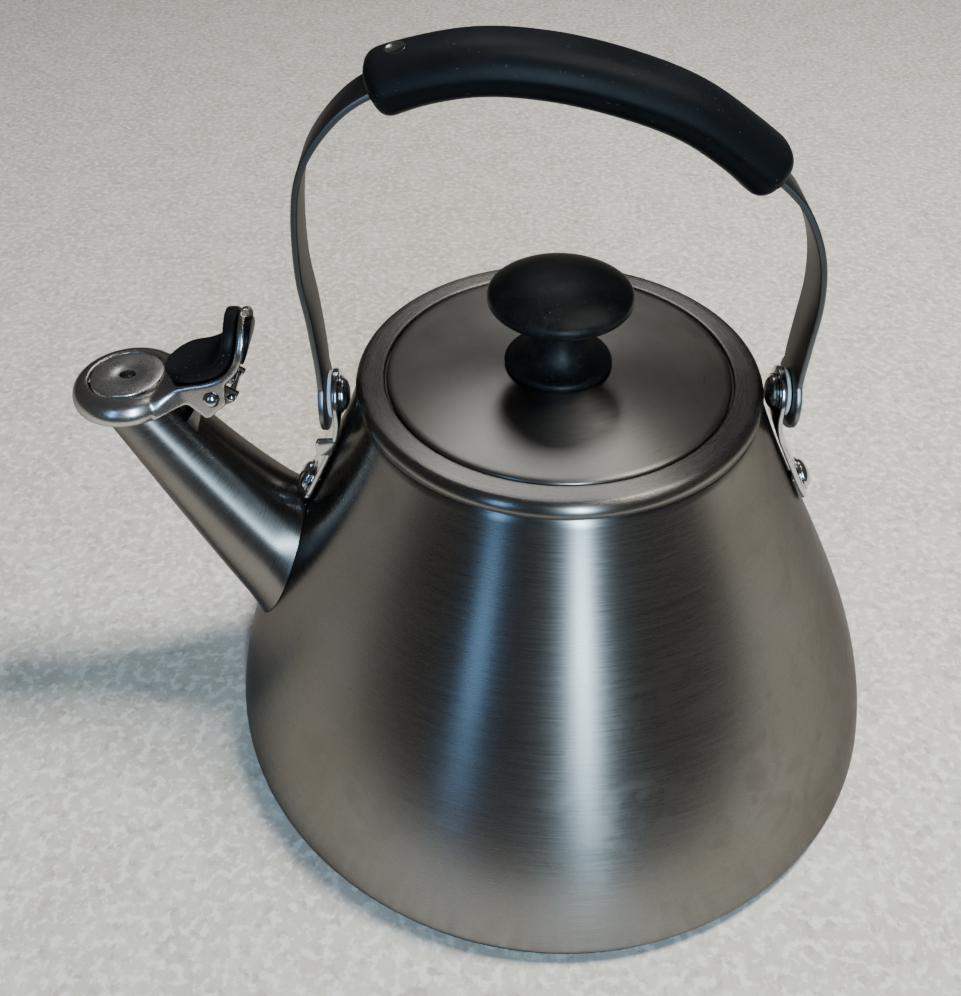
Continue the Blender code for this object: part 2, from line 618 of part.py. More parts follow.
def make_thumb_pads(rubber, whistle):
    line = spline(lever_line(), 4)
    front = offset_path(line[1:], EAR_SHEET / 2 + CLEARANCE + 0.0017)

    def pad(share):
        start = min(share / 0.10, 1.0)
        round_in = 0.55 + 0.45 * math.sqrt(1 - (1 - start) ** 2)
        half_width, half_height = 0.0088 * round_in, 0.0017 * (0.9 + 0.1 * round_in)
        chamfer = 0.0008
        return [(-half_width + chamfer, -half_height), (half_width - chamfer, -half_height),
                (half_width, -half_height + chamfer), (half_width, half_height - chamfer),
                (half_width - 2 * chamfer, half_height), (-half_width + 2 * chamfer, half_height),
                (-half_width, half_height - chamfer), (-half_width, -half_height + chamfer)]

    make_object("thumb_pad", sweep_flat(front, pad), rubber, whistle)
    back = offset_path(line[14:-3], -(EAR_SHEET / 2 + CLEARANCE + 0.0008))
    make_object("thumb_pad_back", sweep_flat(back, rectangle(0.0062, 0.0008)), rubber, whistle)


def make_whistle_hinge(steel, bright, spring_steel):
    outline = [(-0.1060, 0.1128), (-0.1004, 0.1215), (-0.0985, 0.1258), (-0.0949, 0.1264), (-0.0932, 0.1251),
               (-0.0913, 0.1238), (-0.0897, 0.1227), (-0.0906, 0.1212), (-0.0922, 0.1196), (-0.0972, 0.1174),
               (-0.1022, 0.1152), (-0.1040, 0.1080)]
    lug = make_object("spout_hinge_lug", extrude_profile(outline, -LUG_HALF_WIDTH, LUG_HALF_WIDTH), steel)
    channel = [(-0.1110, 0.1160), (-0.1060, 0.1290), (-0.0860, 0.1290), (-0.0860, 0.1180), (-0.0960, 0.1170),
               (-0.1000, 0.1150)]
    inner = LUG_HALF_WIDTH - EAR_SHEET
    combine(lug, make_object("lug_channel_tool", extrude_profile(channel, -inner, inner), None))
    combine(lug, make_object("lug_seat_tool", loft(spout_rings(CLEARANCE)), None))
    combine(lug, hinge_hole("lug_hinge_hole", HINGE_PIN_RADIUS + CLEARANCE))
    stop_point = (-0.0920, 0.1216)
    reach = 0.02
    stop_hole = cylinder_tool("lug_stop_hole", STOP_PIN_RADIUS + CLEARANCE,
                              (stop_point[0], -reach / 2, stop_point[1]), (0, 1, 0), reach)
    combine(lug, stop_hole)
    ear_outside = EAR_INNER_Y + EAR_SHEET + CLEARANCE
    pin = rivet_outline(HINGE_PIN_RADIUS, 2 * ear_outside, 0.0023, 0.0015, 0.0023, 0.0015)
    placed = along_axis((HINGE_X, -ear_outside, HINGE_Z), (0, 1, 0))
    make_object("whistle_hinge_pin", lathe(pin, SMALL_STEPS, placed), bright)
    outside = LUG_HALF_WIDTH + CLEARANCE
    stop = rivet_outline(STOP_PIN_RADIUS, 2 * outside, 0.0014, 0.0010, 0.0014, 0.0010)
    placed = along_axis((stop_point[0], -outside, stop_point[1]), (0, 1, 0))
    make_object("whistle_stop_pin", lathe(stop, 16, placed), bright)
    make_spring(spring_steel)


def make_spring(material):
    """Four turns of wire around the hinge pin, with a short straight leg at each end."""
    wire, coil_radius, turns, per_turn = 0.0004, 0.0024, 4, 10
    half_length = 0.0036
    centre = Vector((HINGE_X, 0.0, HINGE_Z))
    points = []
    for i in range(turns * per_turn + 1):
        share = i / (turns * per_turn)
        a = 2 * math.pi * turns * share
        points.append(Vector((coil_radius * math.cos(a), half_length * (2 * share - 1),
                              coil_radius * math.sin(a))))
    leg = Vector((0.0, 0.0, -0.0042))
    points = [points[0] + leg, *points, points[-1] + leg]
    rings = []
    last = len(points) - 1
    for i, point in enumerate(points):
        along = (points[min(i + 1, last)] - points[max(i - 1, 0)]).normalized()
        side = along.cross(Vector((point.x, 0.0, point.z))).normalized()
        out = side.cross(along)
        turn = [2 * math.pi * k / 6 for k in range(6)]
        rings.append([point + centre + wire * (math.cos(a) * side + math.sin(a) * out) for a in turn])
    make_object("whistle_spring", loft(rings), material)


def main():
    clear_scene()
    brushed = make_material("brushed_steel", (0.46, 0.44, 0.41), 0.32, 1.0)
    polished = make_material("polished_steel", (0.62, 0.61, 0.60), 0.16, 1.0)
    dark_steel = make_material("dark_base", (0.03, 0.035, 0.05), 0.45, 0.6)
    aluminium = make_material("aluminium", (0.60, 0.61, 0.62), 0.40, 1.0)
    soft_black = make_material("soft_black", (0.012, 0.012, 0.013), 0.55, 0.0)
    plastic = make_material("black_plastic", (0.014, 0.014, 0.014), 0.50, 0.0)
    nylon = make_material("white_nylon", (0.80, 0.82, 0.84), 0.45, 0.0)

    handle = make_pivot("handle_axis", (0.0, 0.0, PIVOT_Z))
    lid = make_pivot("lid_axis", (0.0, 0.0, RIM_TOP))
    whistle = make_pivot("whistle_axis", (HINGE_X, 0.0, HINGE_Z))

    seats = foot_seats()
    make_base(aluminium, dark_steel)
    make_body(brushed, seats)
    make_spout(brushed)
    for label, side, tab_side, seat in (("front", -1, -1, seats[0]), ("rear", 1, 1, seats[1])):
        make_bracket(label, side, tab_side, polished, seat)
        make_rivets(side, label, polished, seat)
        make_washer(side, label, nylon, handle)
    make_handle(brushed, soft_black, polished, handle)
    make_lid(brushed, polished, lid)
    make_knob(plastic, lid)
    make_whistle_cap(brushed, whistle)
    make_whistle_discs(polished, brushed, whistle)
    make_thumb_pads(soft_black, whistle)
    make_whistle_hinge(brushed, polished, polished)


main()
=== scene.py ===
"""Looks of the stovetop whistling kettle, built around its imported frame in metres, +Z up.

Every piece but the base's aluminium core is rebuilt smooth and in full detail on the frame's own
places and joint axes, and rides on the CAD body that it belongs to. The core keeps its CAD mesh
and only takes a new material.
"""

import json
import math

import bmesh
import bpy
from mathutils import Matrix, Vector


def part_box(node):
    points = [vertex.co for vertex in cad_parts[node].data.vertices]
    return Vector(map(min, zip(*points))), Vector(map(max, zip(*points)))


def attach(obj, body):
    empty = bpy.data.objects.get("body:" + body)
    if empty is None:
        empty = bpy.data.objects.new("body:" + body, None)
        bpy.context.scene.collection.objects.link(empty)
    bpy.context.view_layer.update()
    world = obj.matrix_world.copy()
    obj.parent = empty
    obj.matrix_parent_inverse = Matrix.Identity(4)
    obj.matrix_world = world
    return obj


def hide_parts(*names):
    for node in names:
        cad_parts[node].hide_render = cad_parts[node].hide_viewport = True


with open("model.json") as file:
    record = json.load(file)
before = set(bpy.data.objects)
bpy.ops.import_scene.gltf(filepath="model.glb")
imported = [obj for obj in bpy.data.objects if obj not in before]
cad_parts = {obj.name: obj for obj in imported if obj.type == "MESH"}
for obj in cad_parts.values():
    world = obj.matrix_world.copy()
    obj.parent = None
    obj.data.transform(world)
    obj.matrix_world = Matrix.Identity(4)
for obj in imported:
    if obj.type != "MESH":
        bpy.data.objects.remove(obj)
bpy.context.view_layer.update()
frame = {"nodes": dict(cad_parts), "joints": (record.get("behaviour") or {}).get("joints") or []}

# ---- places read from the frame ----
JOINTS = {joint["name"]: joint for joint in frame["joints"]}
PIVOT_Z = JOINTS["handle_fold"]["pos_m"][2]
HINGE_X, _, HINGE_Z = JOINTS["whistle_open"]["pos_m"]
BODY_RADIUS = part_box("kettle_body")[1].y
BODY_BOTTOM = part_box("kettle_body")[0].z
RIM_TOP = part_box("kettle_body")[1].z
BASE_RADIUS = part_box("base_cap")[1].y
BASE_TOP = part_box("base_cap")[1].z
LID_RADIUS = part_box("lid_plate")[1].y
LID_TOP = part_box("lid_plate")[1].z
SKIRT_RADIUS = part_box("lid_skirt")[1].y
SKIRT_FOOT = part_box("lid_skirt")[0].z
SKIRT_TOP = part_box("lid_skirt")[1].z
KNOB_FOOT_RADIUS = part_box("knob_base")[1].y
KNOB_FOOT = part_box("knob_base")[0].z
KNOB_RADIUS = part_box("knob_cap")[1].y
KNOB_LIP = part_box("knob_cap")[0].z
KNOB_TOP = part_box("knob_cap")[1].z
DISC_LOW, DISC_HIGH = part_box("whistle_disc_upper")
CAP_X = (DISC_LOW.x + DISC_HIGH.x) / 2
CAP_TOP = DISC_HIGH.z - 0.0003
BRACKET_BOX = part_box("bracket_rear")
WASHER_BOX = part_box("pivot_washer_rear")
PIVOT_RIVET_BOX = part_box("pivot_rivet_rear")
MOUTH_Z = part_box("spout_tube")[1].z

# ---- sizes that the frame's boxes don't give ----
GAP = 0.0003
SHEET = 0.0009
FLANK = ((BODY_RADIUS, 0.0056), (0.0990, 0.0410), (0.0702, 0.0815), (0.0568, 0.1216))
RECESS_RADIUS = 0.0487
THROAT_RADIUS = 0.0445
SPOUT_ROOT = Vector((-0.0704, 0.0, 0.0455))
SPOUT_ELBOW = Vector((-0.0913, 0.0, 0.0635))
SPOUT_TIP = Vector((-0.1215, 0.0, 0.1180))
SPOUT_RADII = (0.0252, 0.0160, 0.0106)
DISC_RADIUS = 0.0104
WHISTLE_HOLE = (0.0024, 0.0019)
CAP_HOLE_RADIUS = 0.0109
CAP_RADIUS = 0.0162
CAP_RIM_Z = 0.1186
PIN_RADIUS = 0.0016
PIN_HEAD = (0.0023, 0.0015)
STOP_RADIUS = 0.0010
STOP_HEAD = (0.0013, 0.0010)
STOP_X, STOP_Z = -0.0920, 0.1216
EAR_Y = 0.0084
EAR_SHEET = 0.0012
FOOT_Z = 0.0855
STRAP_SHEET = 0.0018
STRAP_HALF_WIDTH = 0.0080
DISC_END_RADIUS = 0.0105
PIVOT_HOLE = 0.0029
BRACKET_SHEET = 0.0016
BRACKET_HALF_WIDTH = 0.0076
GRIP_HALF_WIDTH = 0.0115
GRIP_HALF_HEIGHT = 0.00695
GRIP_INSET = (0.0035, 0.0045)

GRAIN = "grain"
GRAIN_TURN = 0.25
AROUND = 256
SPOUT_COLUMNS = 128
BEVEL_ANGLE = 30
SHARP_ANGLE = 42
MERGE = 2e-7


# ---- outlines ----
def arc(centre, radius, start, end, steps):
    """Points on an arc, angles in degrees measured from the first axis towards the second."""
    turn = [math.radians(start + (end - start) * i / steps) for i in range(steps + 1)]
    return [(centre[0] + radius * math.cos(a), centre[1] + radius * math.sin(a)) for a in turn]


def bezier(points, steps):
    """A Bezier curve with any number of control points."""
    order = len(points) - 1
    result = []
    for i in range(steps + 1):
        t = i / steps
        weights = [math.comb(order, k) * t**k * (1 - t) ** (order - k) for k in range(order + 1)]
        result.append(tuple(sum(w * p[axis] for w, p in zip(weights, points)) for axis in range(2)))
    return result


def spline(points, steps):
    """A smooth Catmull-Rom line through every given point."""
    knots = [Vector(p) for p in points]
    knots = [2 * knots[0] - knots[1], *knots, 2 * knots[-1] - knots[-2]]
    result = []
    for a, b, c, d in zip(knots, knots[1:], knots[2:], knots[3:]):
        for i in range(steps):
            t = i / steps
            result.append(0.5 * (2 * b + (c - a) * t + (2 * a - 5 * b + 4 * c - d) * t**2
                                 + (3 * b - a - 3 * c + d) * t**3))
    return [*result, knots[-2]]


def offset_line(line, distance):
    """A line moved sideways, to its left."""
    result = []
    last = len(line) - 1
    for i, point in enumerate(line):
        along = (Vector(line[min(i + 1, last)]) - Vector(line[max(i - 1, 0)])).normalized()
        result.append(Vector(point) + Vector((-along.y, along.x)) * distance)
    return result


def measured(line):
    """Distances along a line, from its first point to each of its points."""
    lengths = [0.0]
    for a, b in zip(line, line[1:]):
        lengths.append(lengths[-1] + (Vector(b) - Vector(a)).length)
    return lengths


def at_distance(line, lengths, distance):
    """The point on a line at a distance from its start."""
    for i in range(len(line) - 2):
        if lengths[i + 1] >= distance:
            break
    share = (distance - lengths[i]) / (lengths[i + 1] - lengths[i])
    return Vector(line[i]).lerp(Vector(line[i + 1]), share)


def rounded_width(half_width, from_start, from_end):
    """Half width of a strip whose ends are half circles, at a distance from each end."""
    near = min(from_start, from_end, half_width)
    return max(math.sqrt(max(half_width**2 - (half_width - near) ** 2, 0.0)), half_width * 0.05)


def round_ended(line, half_width, start=True, step=0.0007):
    """Points along a line, close together in its round ends, and the strip's half width at each.

    Without start, the first end is square. The distances along the line come back too.
    """
    lengths = measured(line)
    total = lengths[-1]
    ends = [half_width * (1 - math.cos(math.pi / 2 * i / 10)) for i in range(10)]
    near = [*ends, half_width] if start else [0.0]
    far = [total - half_width, *[total - d for d in reversed(ends)]]
    count = max(int((far[0] - near[-1]) / step), 1)
    middle = [near[-1] + (far[0] - near[-1]) * i / count for i in range(1, count)]
    places = [*near, *middle, *far]
    widths = [rounded_width(half_width, d if start else half_width, total - d) for d in places]
    return [at_distance(line, lengths, d) for d in places], widths, places


def smooth_step(x):
    x = min(max(x, 0.0), 1.0)
    return x * x * (3 - 2 * x)


# ---- meshes ----
def skin(rings, joined=False):
    """Skin equal rings; the grain map holds u in turns around and v in metres along."""
    bm = bmesh.new()
    grain = bm.loops.layers.uv.new(GRAIN)
    rows = [[bm.verts.new(point) for point in ring] for ring in rings]
    count = len(rings[0])
    travelled = 0.0
    for low, high in zip(rows, rows[1:] + rows[:1] if joined else rows[1:]):
        step = sum((a.co - b.co).length for a, b in zip(low, high)) / count
        for i in range(count):
            j = (i + 1) % count
            face = bm.faces.new((low[i], low[j], high[j], high[i]))
            places = ((i, 0.0), (i + 1, 0.0), (i + 1, step), (i, step))
            for corner, (column, rise) in zip(face.loops, places):
                corner[grain].uv = (column / count, travelled + rise)
        travelled += step
    if not joined:
        bm.faces.new(reversed(rows[0]))
        bm.faces.new(rows[-1])
    bmesh.ops.remove_doubles(bm, verts=bm.verts, dist=MERGE)
    bmesh.ops.recalc_face_normals(bm, faces=bm.faces)
    return bm


def turned(profile, steps=AROUND, placed=None):
    """Spin a closed (radius, height) outline around Z."""
    rings = []
    for radius, height in profile:
        turn = [2 * math.pi * i / steps for i in range(steps)]
        rings.append([Vector((radius * math.cos(a), radius * math.sin(a), height)) for a in turn])
    bm = skin(rings, joined=True)
    if placed:
        bmesh.ops.transform(bm, matrix=placed, verts=bm.verts)
    return bm


def swept(line, section):
    """Sweep section(step) pairs (across, out) along a line in XZ, capping both ends."""
    rings = []
    last = len(line) - 1
    for i, point in enumerate(line):
        along = (line[min(i + 1, last)] - line[max(i - 1, 0)]).normalized()
        out = Vector((-along.y, 0.0, along.x))
        centre = Vector((point.x, 0.0, point.y))
        rings.append([centre + Vector((0.0, across, 0.0)) + out * height for across, height in section(i)])
    return skin(rings)


def plate(outline, low, high):
    """A flat plate with an XZ outline between two Y planes."""
    return skin([[Vector((x, y, z)) for x, z in outline] for y in (low, high)])


def round_rectangle(half_width, half_height, radius, steps=3):
    """Corner-rounded rectangle points, going round once."""
    points = []
    for sx, sy, start in ((1, 1, 0), (-1, 1, 90), (-1, -1, 180), (1, -1, 270)):
        centre = (sx * (half_width - radius), sy * (half_height - radius))
        points += arc(centre, radius, start, start + 90, steps)
    return points


def along_axis(point, direction):
    """A matrix that puts a turned piece's foot at point, with its +Z along direction."""
    return Matrix.Translation(Vector(point)) @ Vector(direction).to_track_quat("Z", "Y").to_matrix().to_4x4()


def bore(radius, length, point, direction, steps):
    """A cylinder that drills a hole from point along direction."""
    profile = [(radius, 0.0), (radius, length), (0.0, length), (0.0, 0.0)]
    return turned(profile, steps, along_axis(point, direction))


def make_object(name, bm):
    mesh = bpy.data.meshes.new(name)
    bm.to_mesh(mesh)
    bm.free()
    piece = bpy.data.objects.new(name, mesh)
    bpy.context.scene.collection.objects.link(piece)
    return piece


def apply_modifiers(piece):
    bpy.context.view_layer.update()
    evaluated = piece.evaluated_get(bpy.context.evaluated_depsgraph_get())
    mesh = bpy.data.meshes.new_from_object(evaluated)
    piece.modifiers.clear()
    piece.data = mesh


def combine(piece, tool_mesh, operation="DIFFERENCE"):
    """Cut a mesh out of the piece, or join it on, and keep only the result."""
    tool = make_object("tool", tool_mesh)
    modifier = piece.modifiers.new("cut", "BOOLEAN")
    modifier.operation = operation
    modifier.solver = "EXACT"
    modifier.object = tool
    apply_modifiers(piece)
    bpy.data.objects.remove(tool, do_unlink=True)


def bevel(piece, width, segments):
    modifier = piece.modifiers.new("edges", "BEVEL")
    modifier.width = width
    modifier.segments = segments
    modifier.limit_method = "ANGLE"
    modifier.angle_limit = math.radians(BEVEL_ANGLE)
    apply_modifiers(piece)


def remesh(piece, voxel, rounds):
    """Fuse a piece's bodies into one sheet with soft inside corners."""
    modifier = piece.modifiers.new("fuse", "REMESH")
    modifier.mode = "VOXEL"
    modifier.voxel_size = voxel
    smooth = piece.modifiers.new("relax", "SMOOTH")
    smooth.factor = 0.5
    smooth.iterations = rounds
    apply_modifiers(piece)


def place(piece, body, slot, material, *nodes):
    """Shade the piece, put its material on, and stand it in for its CAD nodes."""
    piece.data.shade_smooth()
    piece.data.set_sharp_from_angle(angle=math.radians(SHARP_ANGLE))
    piece.data.materials.clear()
    piece.data.materials.append(material)
    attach(piece, body)
    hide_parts(*nodes)
    return piece


# ---- materials ----
class Shader:
    """A material's node tree, with short ways to add and link nodes."""

    def __init__(self, name):
        self.material = bpy.data.materials.new(name)
        self.material.use_nodes = True
        self.tree = self.material.node_tree
        self.surface = self.tree.nodes["Principled BSDF"]

    def add(self, kind, **settings):
        node = self.tree.nodes.new(kind)
        for key, value in settings.items():
            setattr(node, key, value)
        return node

    def put(self, socket, value):
        if isinstance(value, bpy.types.NodeSocket):
            self.tree.links.new(value, socket)
        else:
            socket.default_value = value

    def set(self, name, value):
        """Set or link one of the surface's own inputs."""
        self.put(self.surface.inputs[name], value)

    def math(self, operation, a, b=0.0):
        node = self.add("ShaderNodeMath", operation=operation)
        self.put(node.inputs[0], a)
        self.put(node.inputs[1], b)
        return node.outputs[0]

    def object_place(self):
        return self.add("ShaderNodeTexCoord").outputs["Object"]

    def noise(self, vector, scale, detail=3.0, roughness=0.55, distortion=0.0):
        node = self.add("ShaderNodeTexNoise")
        self.put(node.inputs["Vector"], vector)
        self.put(node.inputs["Scale"], scale)
        self.put(node.inputs["Detail"], detail)
        self.put(node.inputs["Roughness"], roughness)
        self.put(node.inputs["Distortion"], distortion)
        return node.outputs["Fac"]

    def stretched(self, vector, scales):
        node = self.add("ShaderNodeMapping")
        self.put(node.inputs["Vector"], vector)
        self.put(node.inputs["Scale"], scales)
        return node.outputs["Vector"]

    def spread(self, value, low, high, out_low=0.0, out_high=1.0):
        """Map low..high of value onto out_low..out_high, held at both ends."""
        node = self.add("ShaderNodeMapRange")
        self.put(node.inputs["Value"], value)
        self.put(node.inputs["From Min"], low)
        self.put(node.inputs["From Max"], high)
        self.put(node.inputs["To Min"], out_low)
        self.put(node.inputs["To Max"], out_high)
        return node.outputs["Result"]

    def mix(self, share, first, second):
        node = self.add("ShaderNodeMix", data_type="RGBA")
        self.put(node.inputs[0], share)
        self.put(node.inputs[6], first if isinstance(first, bpy.types.NodeSocket) else (*first, 1.0))
        self.put(node.inputs[7], second if isinstance(second, bpy.types.NodeSocket) else (*second, 1.0))
        return node.outputs[2]

    def bump(self, height, distance, strength=1.0):
        node = self.add("ShaderNodeBump")
        self.put(node.inputs["Height"], height)
        self.put(node.inputs["Distance"], distance)
        self.put(node.inputs["Strength"], strength)
        self.set("Normal", node.outputs["Normal"])

    def grain_map(self):
        node = self.add("ShaderNodeUVMap", uv_map=GRAIN)
        parts = self.add("ShaderNodeSeparateXYZ")
        self.put(parts.inputs[0], node.outputs["UV"])
        return parts.outputs["X"], parts.outputs["Y"]

    def turned_grain(self, streaks, lines):
        """Fine lines that run around a turned piece, without a seam."""
        turn, along = self.grain_map()
        angle = self.math("MULTIPLY", turn, 2 * math.pi)
        vector = self.add("ShaderNodeCombineXYZ")
        self.put(vector.inputs[0], self.math("MULTIPLY", self.math("COSINE", angle), streaks))
        self.put(vector.inputs[1], self.math("MULTIPLY", self.math("SINE", angle), streaks))
        self.put(vector.inputs[2], self.math("MULTIPLY", along, lines))
        return self.noise(vector.outputs[0], 1.0, 4.0, 0.65)

    def long_grain(self, across, lines):
        """Fine lines that run along a swept piece."""
        turn, along = self.grain_map()
        vector = self.add("ShaderNodeCombineXYZ")
        self.put(vector.inputs[0], self.math("MULTIPLY", turn, across))
        self.put(vector.inputs[1], self.math("MULTIPLY", along, lines))
        return self.noise(vector.outputs[0], 1.0, 4.0, 0.65)

    def tangent(self, anisotropy):
        node = self.add("ShaderNodeTangent", direction_type="UV_MAP", uv_map=GRAIN)
        self.set("Tangent", node.outputs["Tangent"])
        self.set("Anisotropic", anisotropy)
        self.set("Anisotropic Rotation", GRAIN_TURN)


def small_grain(shader):
    """Short crossing lines for small pressed pieces."""
    return shader.noise(shader.stretched(shader.object_place(), (500.0, 5000.0, 1500.0)), 1.0)


def brushed_steel(name, grain, colour, roughness, anisotropy=0.0, stains=1.0):
    """Brushed stainless steel: grain lines, warm heat haze, water marks and faint smears."""
    shader = Shader(name)
    shader.set("Metallic", 1.0)
    shader.set("Specular Tint", (0.35, 0.35, 0.36, 1.0))
    lines = grain(shader)
    where = shader.object_place()
    haze = shader.spread(shader.noise(where, 22.0, 3.0, 0.5, 0.4), 0.38, 0.68)
    blotch = shader.spread(shader.noise(where, 70.0, 5.0, 0.7, 0.5), 0.50, 0.66)
    wide = shader.spread(shader.noise(where, 9.0, 2.0), 0.42, 0.6)
    marks = shader.math("MULTIPLY", blotch, wide)
    warm = tuple(c * k for c, k in zip(colour, (0.80, 0.74, 0.66)))
    dull = tuple(c * k for c, k in zip(colour, (0.72, 0.68, 0.62)))
    tone = shader.mix(shader.math("MULTIPLY", haze, 0.75 * stains), colour, warm)
    tone = shader.mix(shader.math("MULTIPLY", marks, 0.45 * stains), tone, dull)
    fine = shader.spread(lines, 0.30, 0.70, 0.93, 1.05)
    shade = shader.add("ShaderNodeVectorMath", operation="SCALE")
    shader.put(shade.inputs[0], tone)
    shader.put(shade.inputs["Scale"], fine)
    shader.set("Base Color", shade.outputs[0])
    worn = shader.math("MULTIPLY", marks, 0.10 * stains)
    rough = shader.math("ADD", shader.spread(lines, 0.25, 0.75, roughness - 0.03, roughness + 0.04), worn)
    shader.set("Roughness", rough)
    shader.bump(lines, 0.00003, 0.15)
    if anisotropy:
        shader.tangent(anisotropy)
    return shader.material


def polished_steel(name, colour, roughness):
    """Polished steel with fine crossing scratches and a few finger smears."""
    shader = Shader(name)
    shader.set("Metallic", 1.0)
    where = shader.object_place()
    smear = shader.spread(shader.noise(where, 260.0, 3.0, 0.5, 0.8), 0.45, 0.70)
    one_way = shader.noise(shader.stretched(where, (400.0, 5200.0, 900.0)), 1.0, 2.0)
    other_way = shader.noise(shader.stretched(where, (4600.0, 500.0, 3300.0)), 1.0, 2.0)
    scratch = shader.math("MAXIMUM", one_way, other_way)
    smeared = tuple(0.91 * c for c in colour)
    shader.set("Base Color", shader.mix(smear, colour, smeared))
    rough = shader.math("ADD", shader.spread(smear, 0.0, 1.0, roughness, roughness + 0.06),
                        shader.spread(scratch, 0.60, 0.75, 0.0, 0.10))
    shader.set("Roughness", rough)
    shader.bump(scratch, 0.00002, 0.08)
    return shader.material


def black_rubber(name, colour, roughness, dust):
    """Soft-touch black with moulded texture, a little dust and worn paler patches."""
    shader = Shader(name)
    where = shader.object_place()
    skin_noise = shader.noise(where, 4200.0, 2.0)
    patch = shader.spread(shader.noise(where, 60.0, 4.0, 0.6), 0.42, 0.72)
    specks = shader.spread(shader.noise(where, 1300.0, 1.0, 0.4), 0.75, 0.78)
    pale = tuple(0.012 + c for c in colour)
    tone = shader.mix(shader.math("MULTIPLY", patch, 0.35 * dust), colour, pale)
    tone = shader.mix(shader.math("MULTIPLY", specks, 0.8 * dust), tone, (0.10, 0.10, 0.09))
    shader.set("Base Color", tone)
    rough = shader.math("ADD", shader.spread(patch, 0.0, 1.0, roughness, roughness + 0.12),
                        shader.spread(skin_noise, 0.3, 0.7, -0.04, 0.04))
    shader.set("Roughness", rough)
    shader.set("Specular IOR Level", 0.12)
    shader.bump(skin_noise, 0.00005, 0.25)
    return shader.material


def knob_plastic(name, colour):
    """Matte moulded plastic, dusty, with many fine scratches from years of use."""
    shader = Shader(name)
    where = shader.object_place()
    texture = shader.noise(where, 3600.0, 2.0)
    first = shader.noise(shader.stretched(where, (350.0, 4200.0, 600.0)), 1.0, 2.0, 0.5, 0.3)
    second = shader.noise(shader.stretched(where, (3800.0, 520.0, 600.0)), 1.0, 2.0, 0.5, 0.3)
    scratches = shader.spread(shader.math("MAXIMUM", first, second), 0.64, 0.74)
    dust = shader.spread(shader.noise(where, 150.0, 5.0, 0.7), 0.45, 0.75)
    specks = shader.spread(shader.noise(where, 1500.0, 1.0, 0.4), 0.74, 0.78)
    tone = shader.mix(shader.math("MULTIPLY", dust, 0.5), colour, (0.022, 0.020, 0.017))
    tone = shader.mix(shader.math("MULTIPLY", scratches, 0.25), tone, (0.06, 0.055, 0.05))
    tone = shader.mix(shader.math("MULTIPLY", specks, 0.5), tone, (0.14, 0.13, 0.12))
    shader.set("Base Color", tone)
    rough = shader.math("ADD", shader.spread(dust, 0.0, 1.0, 0.42, 0.60),
                        shader.spread(texture, 0.3, 0.7, -0.04, 0.04))
    shader.set("Roughness", rough)
    shader.set("Specular IOR Level", 0.22)
    shader.bump(texture, 0.00006, 0.30)
    return shader.material


def dark_base_metal(name):
    """Heat-darkened satin steel, blue-black, with scorch patches and rubbed spots."""
    shader = Shader(name)
    shader.set("Metallic", 0.6)
    where = shader.object_place()
    scorch = shader.spread(shader.noise(where, 40.0, 4.0, 0.6), 0.40, 0.66)
    rub = shader.spread(shader.noise(where, 240.0, 3.0), 0.58, 0.72)
    tone = shader.mix(scorch, (0.022, 0.028, 0.050), (0.045, 0.040, 0.038))
    tone = shader.mix(shader.math("MULTIPLY", rub, 0.5), tone, (0.16, 0.16, 0.17))
    shader.set("Base Color", tone)
    shader.set("Roughness", shader.spread(scorch, 0.0, 1.0, 0.32, 0.55))
    shader.bump(rub, 0.00005, 0.3)
    return shader.material


def spun_aluminium(name):
    """Dull aluminium with turning marks and grey oxide patches."""
    shader = Shader(name)
    shader.set("Metallic", 1.0)
    where = shader.object_place()
    marks = shader.noise(shader.stretched(where, (300.0, 300.0, 4000.0)), 1.0, 3.0)
    oxide = shader.spread(shader.noise(where, 70.0, 4.0), 0.42, 0.66)
    shader.set("Base Color", shader.mix(oxide, (0.62, 0.63, 0.64), (0.42, 0.43, 0.44)))
    shader.set("Roughness", shader.spread(marks, 0.3, 0.7, 0.30, 0.48))
    shader.bump(marks, 0.00005, 0.3)
    return shader.material


def white_nylon(name):
    """Milky nylon with slight yellowing and rub marks."""
    shader = Shader(name)
    where = shader.object_place()
    age = shader.spread(shader.noise(where, 320.0, 3.0), 0.40, 0.70)
    shader.set("Base Color", shader.mix(age, (0.80, 0.83, 0.86), (0.66, 0.65, 0.60)))
    shader.set("Roughness", shader.spread(age, 0.0, 1.0, 0.34, 0.50))
    shader.set("Subsurface Weight", 0.15)
    shader.set("Subsurface Scale", 0.001)
    shader.bump(age, 0.00004, 0.3)
    return shader.material


# ---- body ----
FLANK_LINE = bezier(FLANK, 240)


def flank_radius(height):
    for (low_radius, low), (high_radius, high) in zip(FLANK_LINE, FLANK_LINE[1:]):
        if high >= height:
            return low_radius + (high_radius - low_radius) * (height - low) / (high - low)
    return FLANK_LINE[-1][0]


def flank_normal(height):
    rise = 0.0015
    slope = (flank_radius(height - rise) - flank_radius(height + rise)) / (2 * rise)
    return Vector((1.0, slope)).normalized()


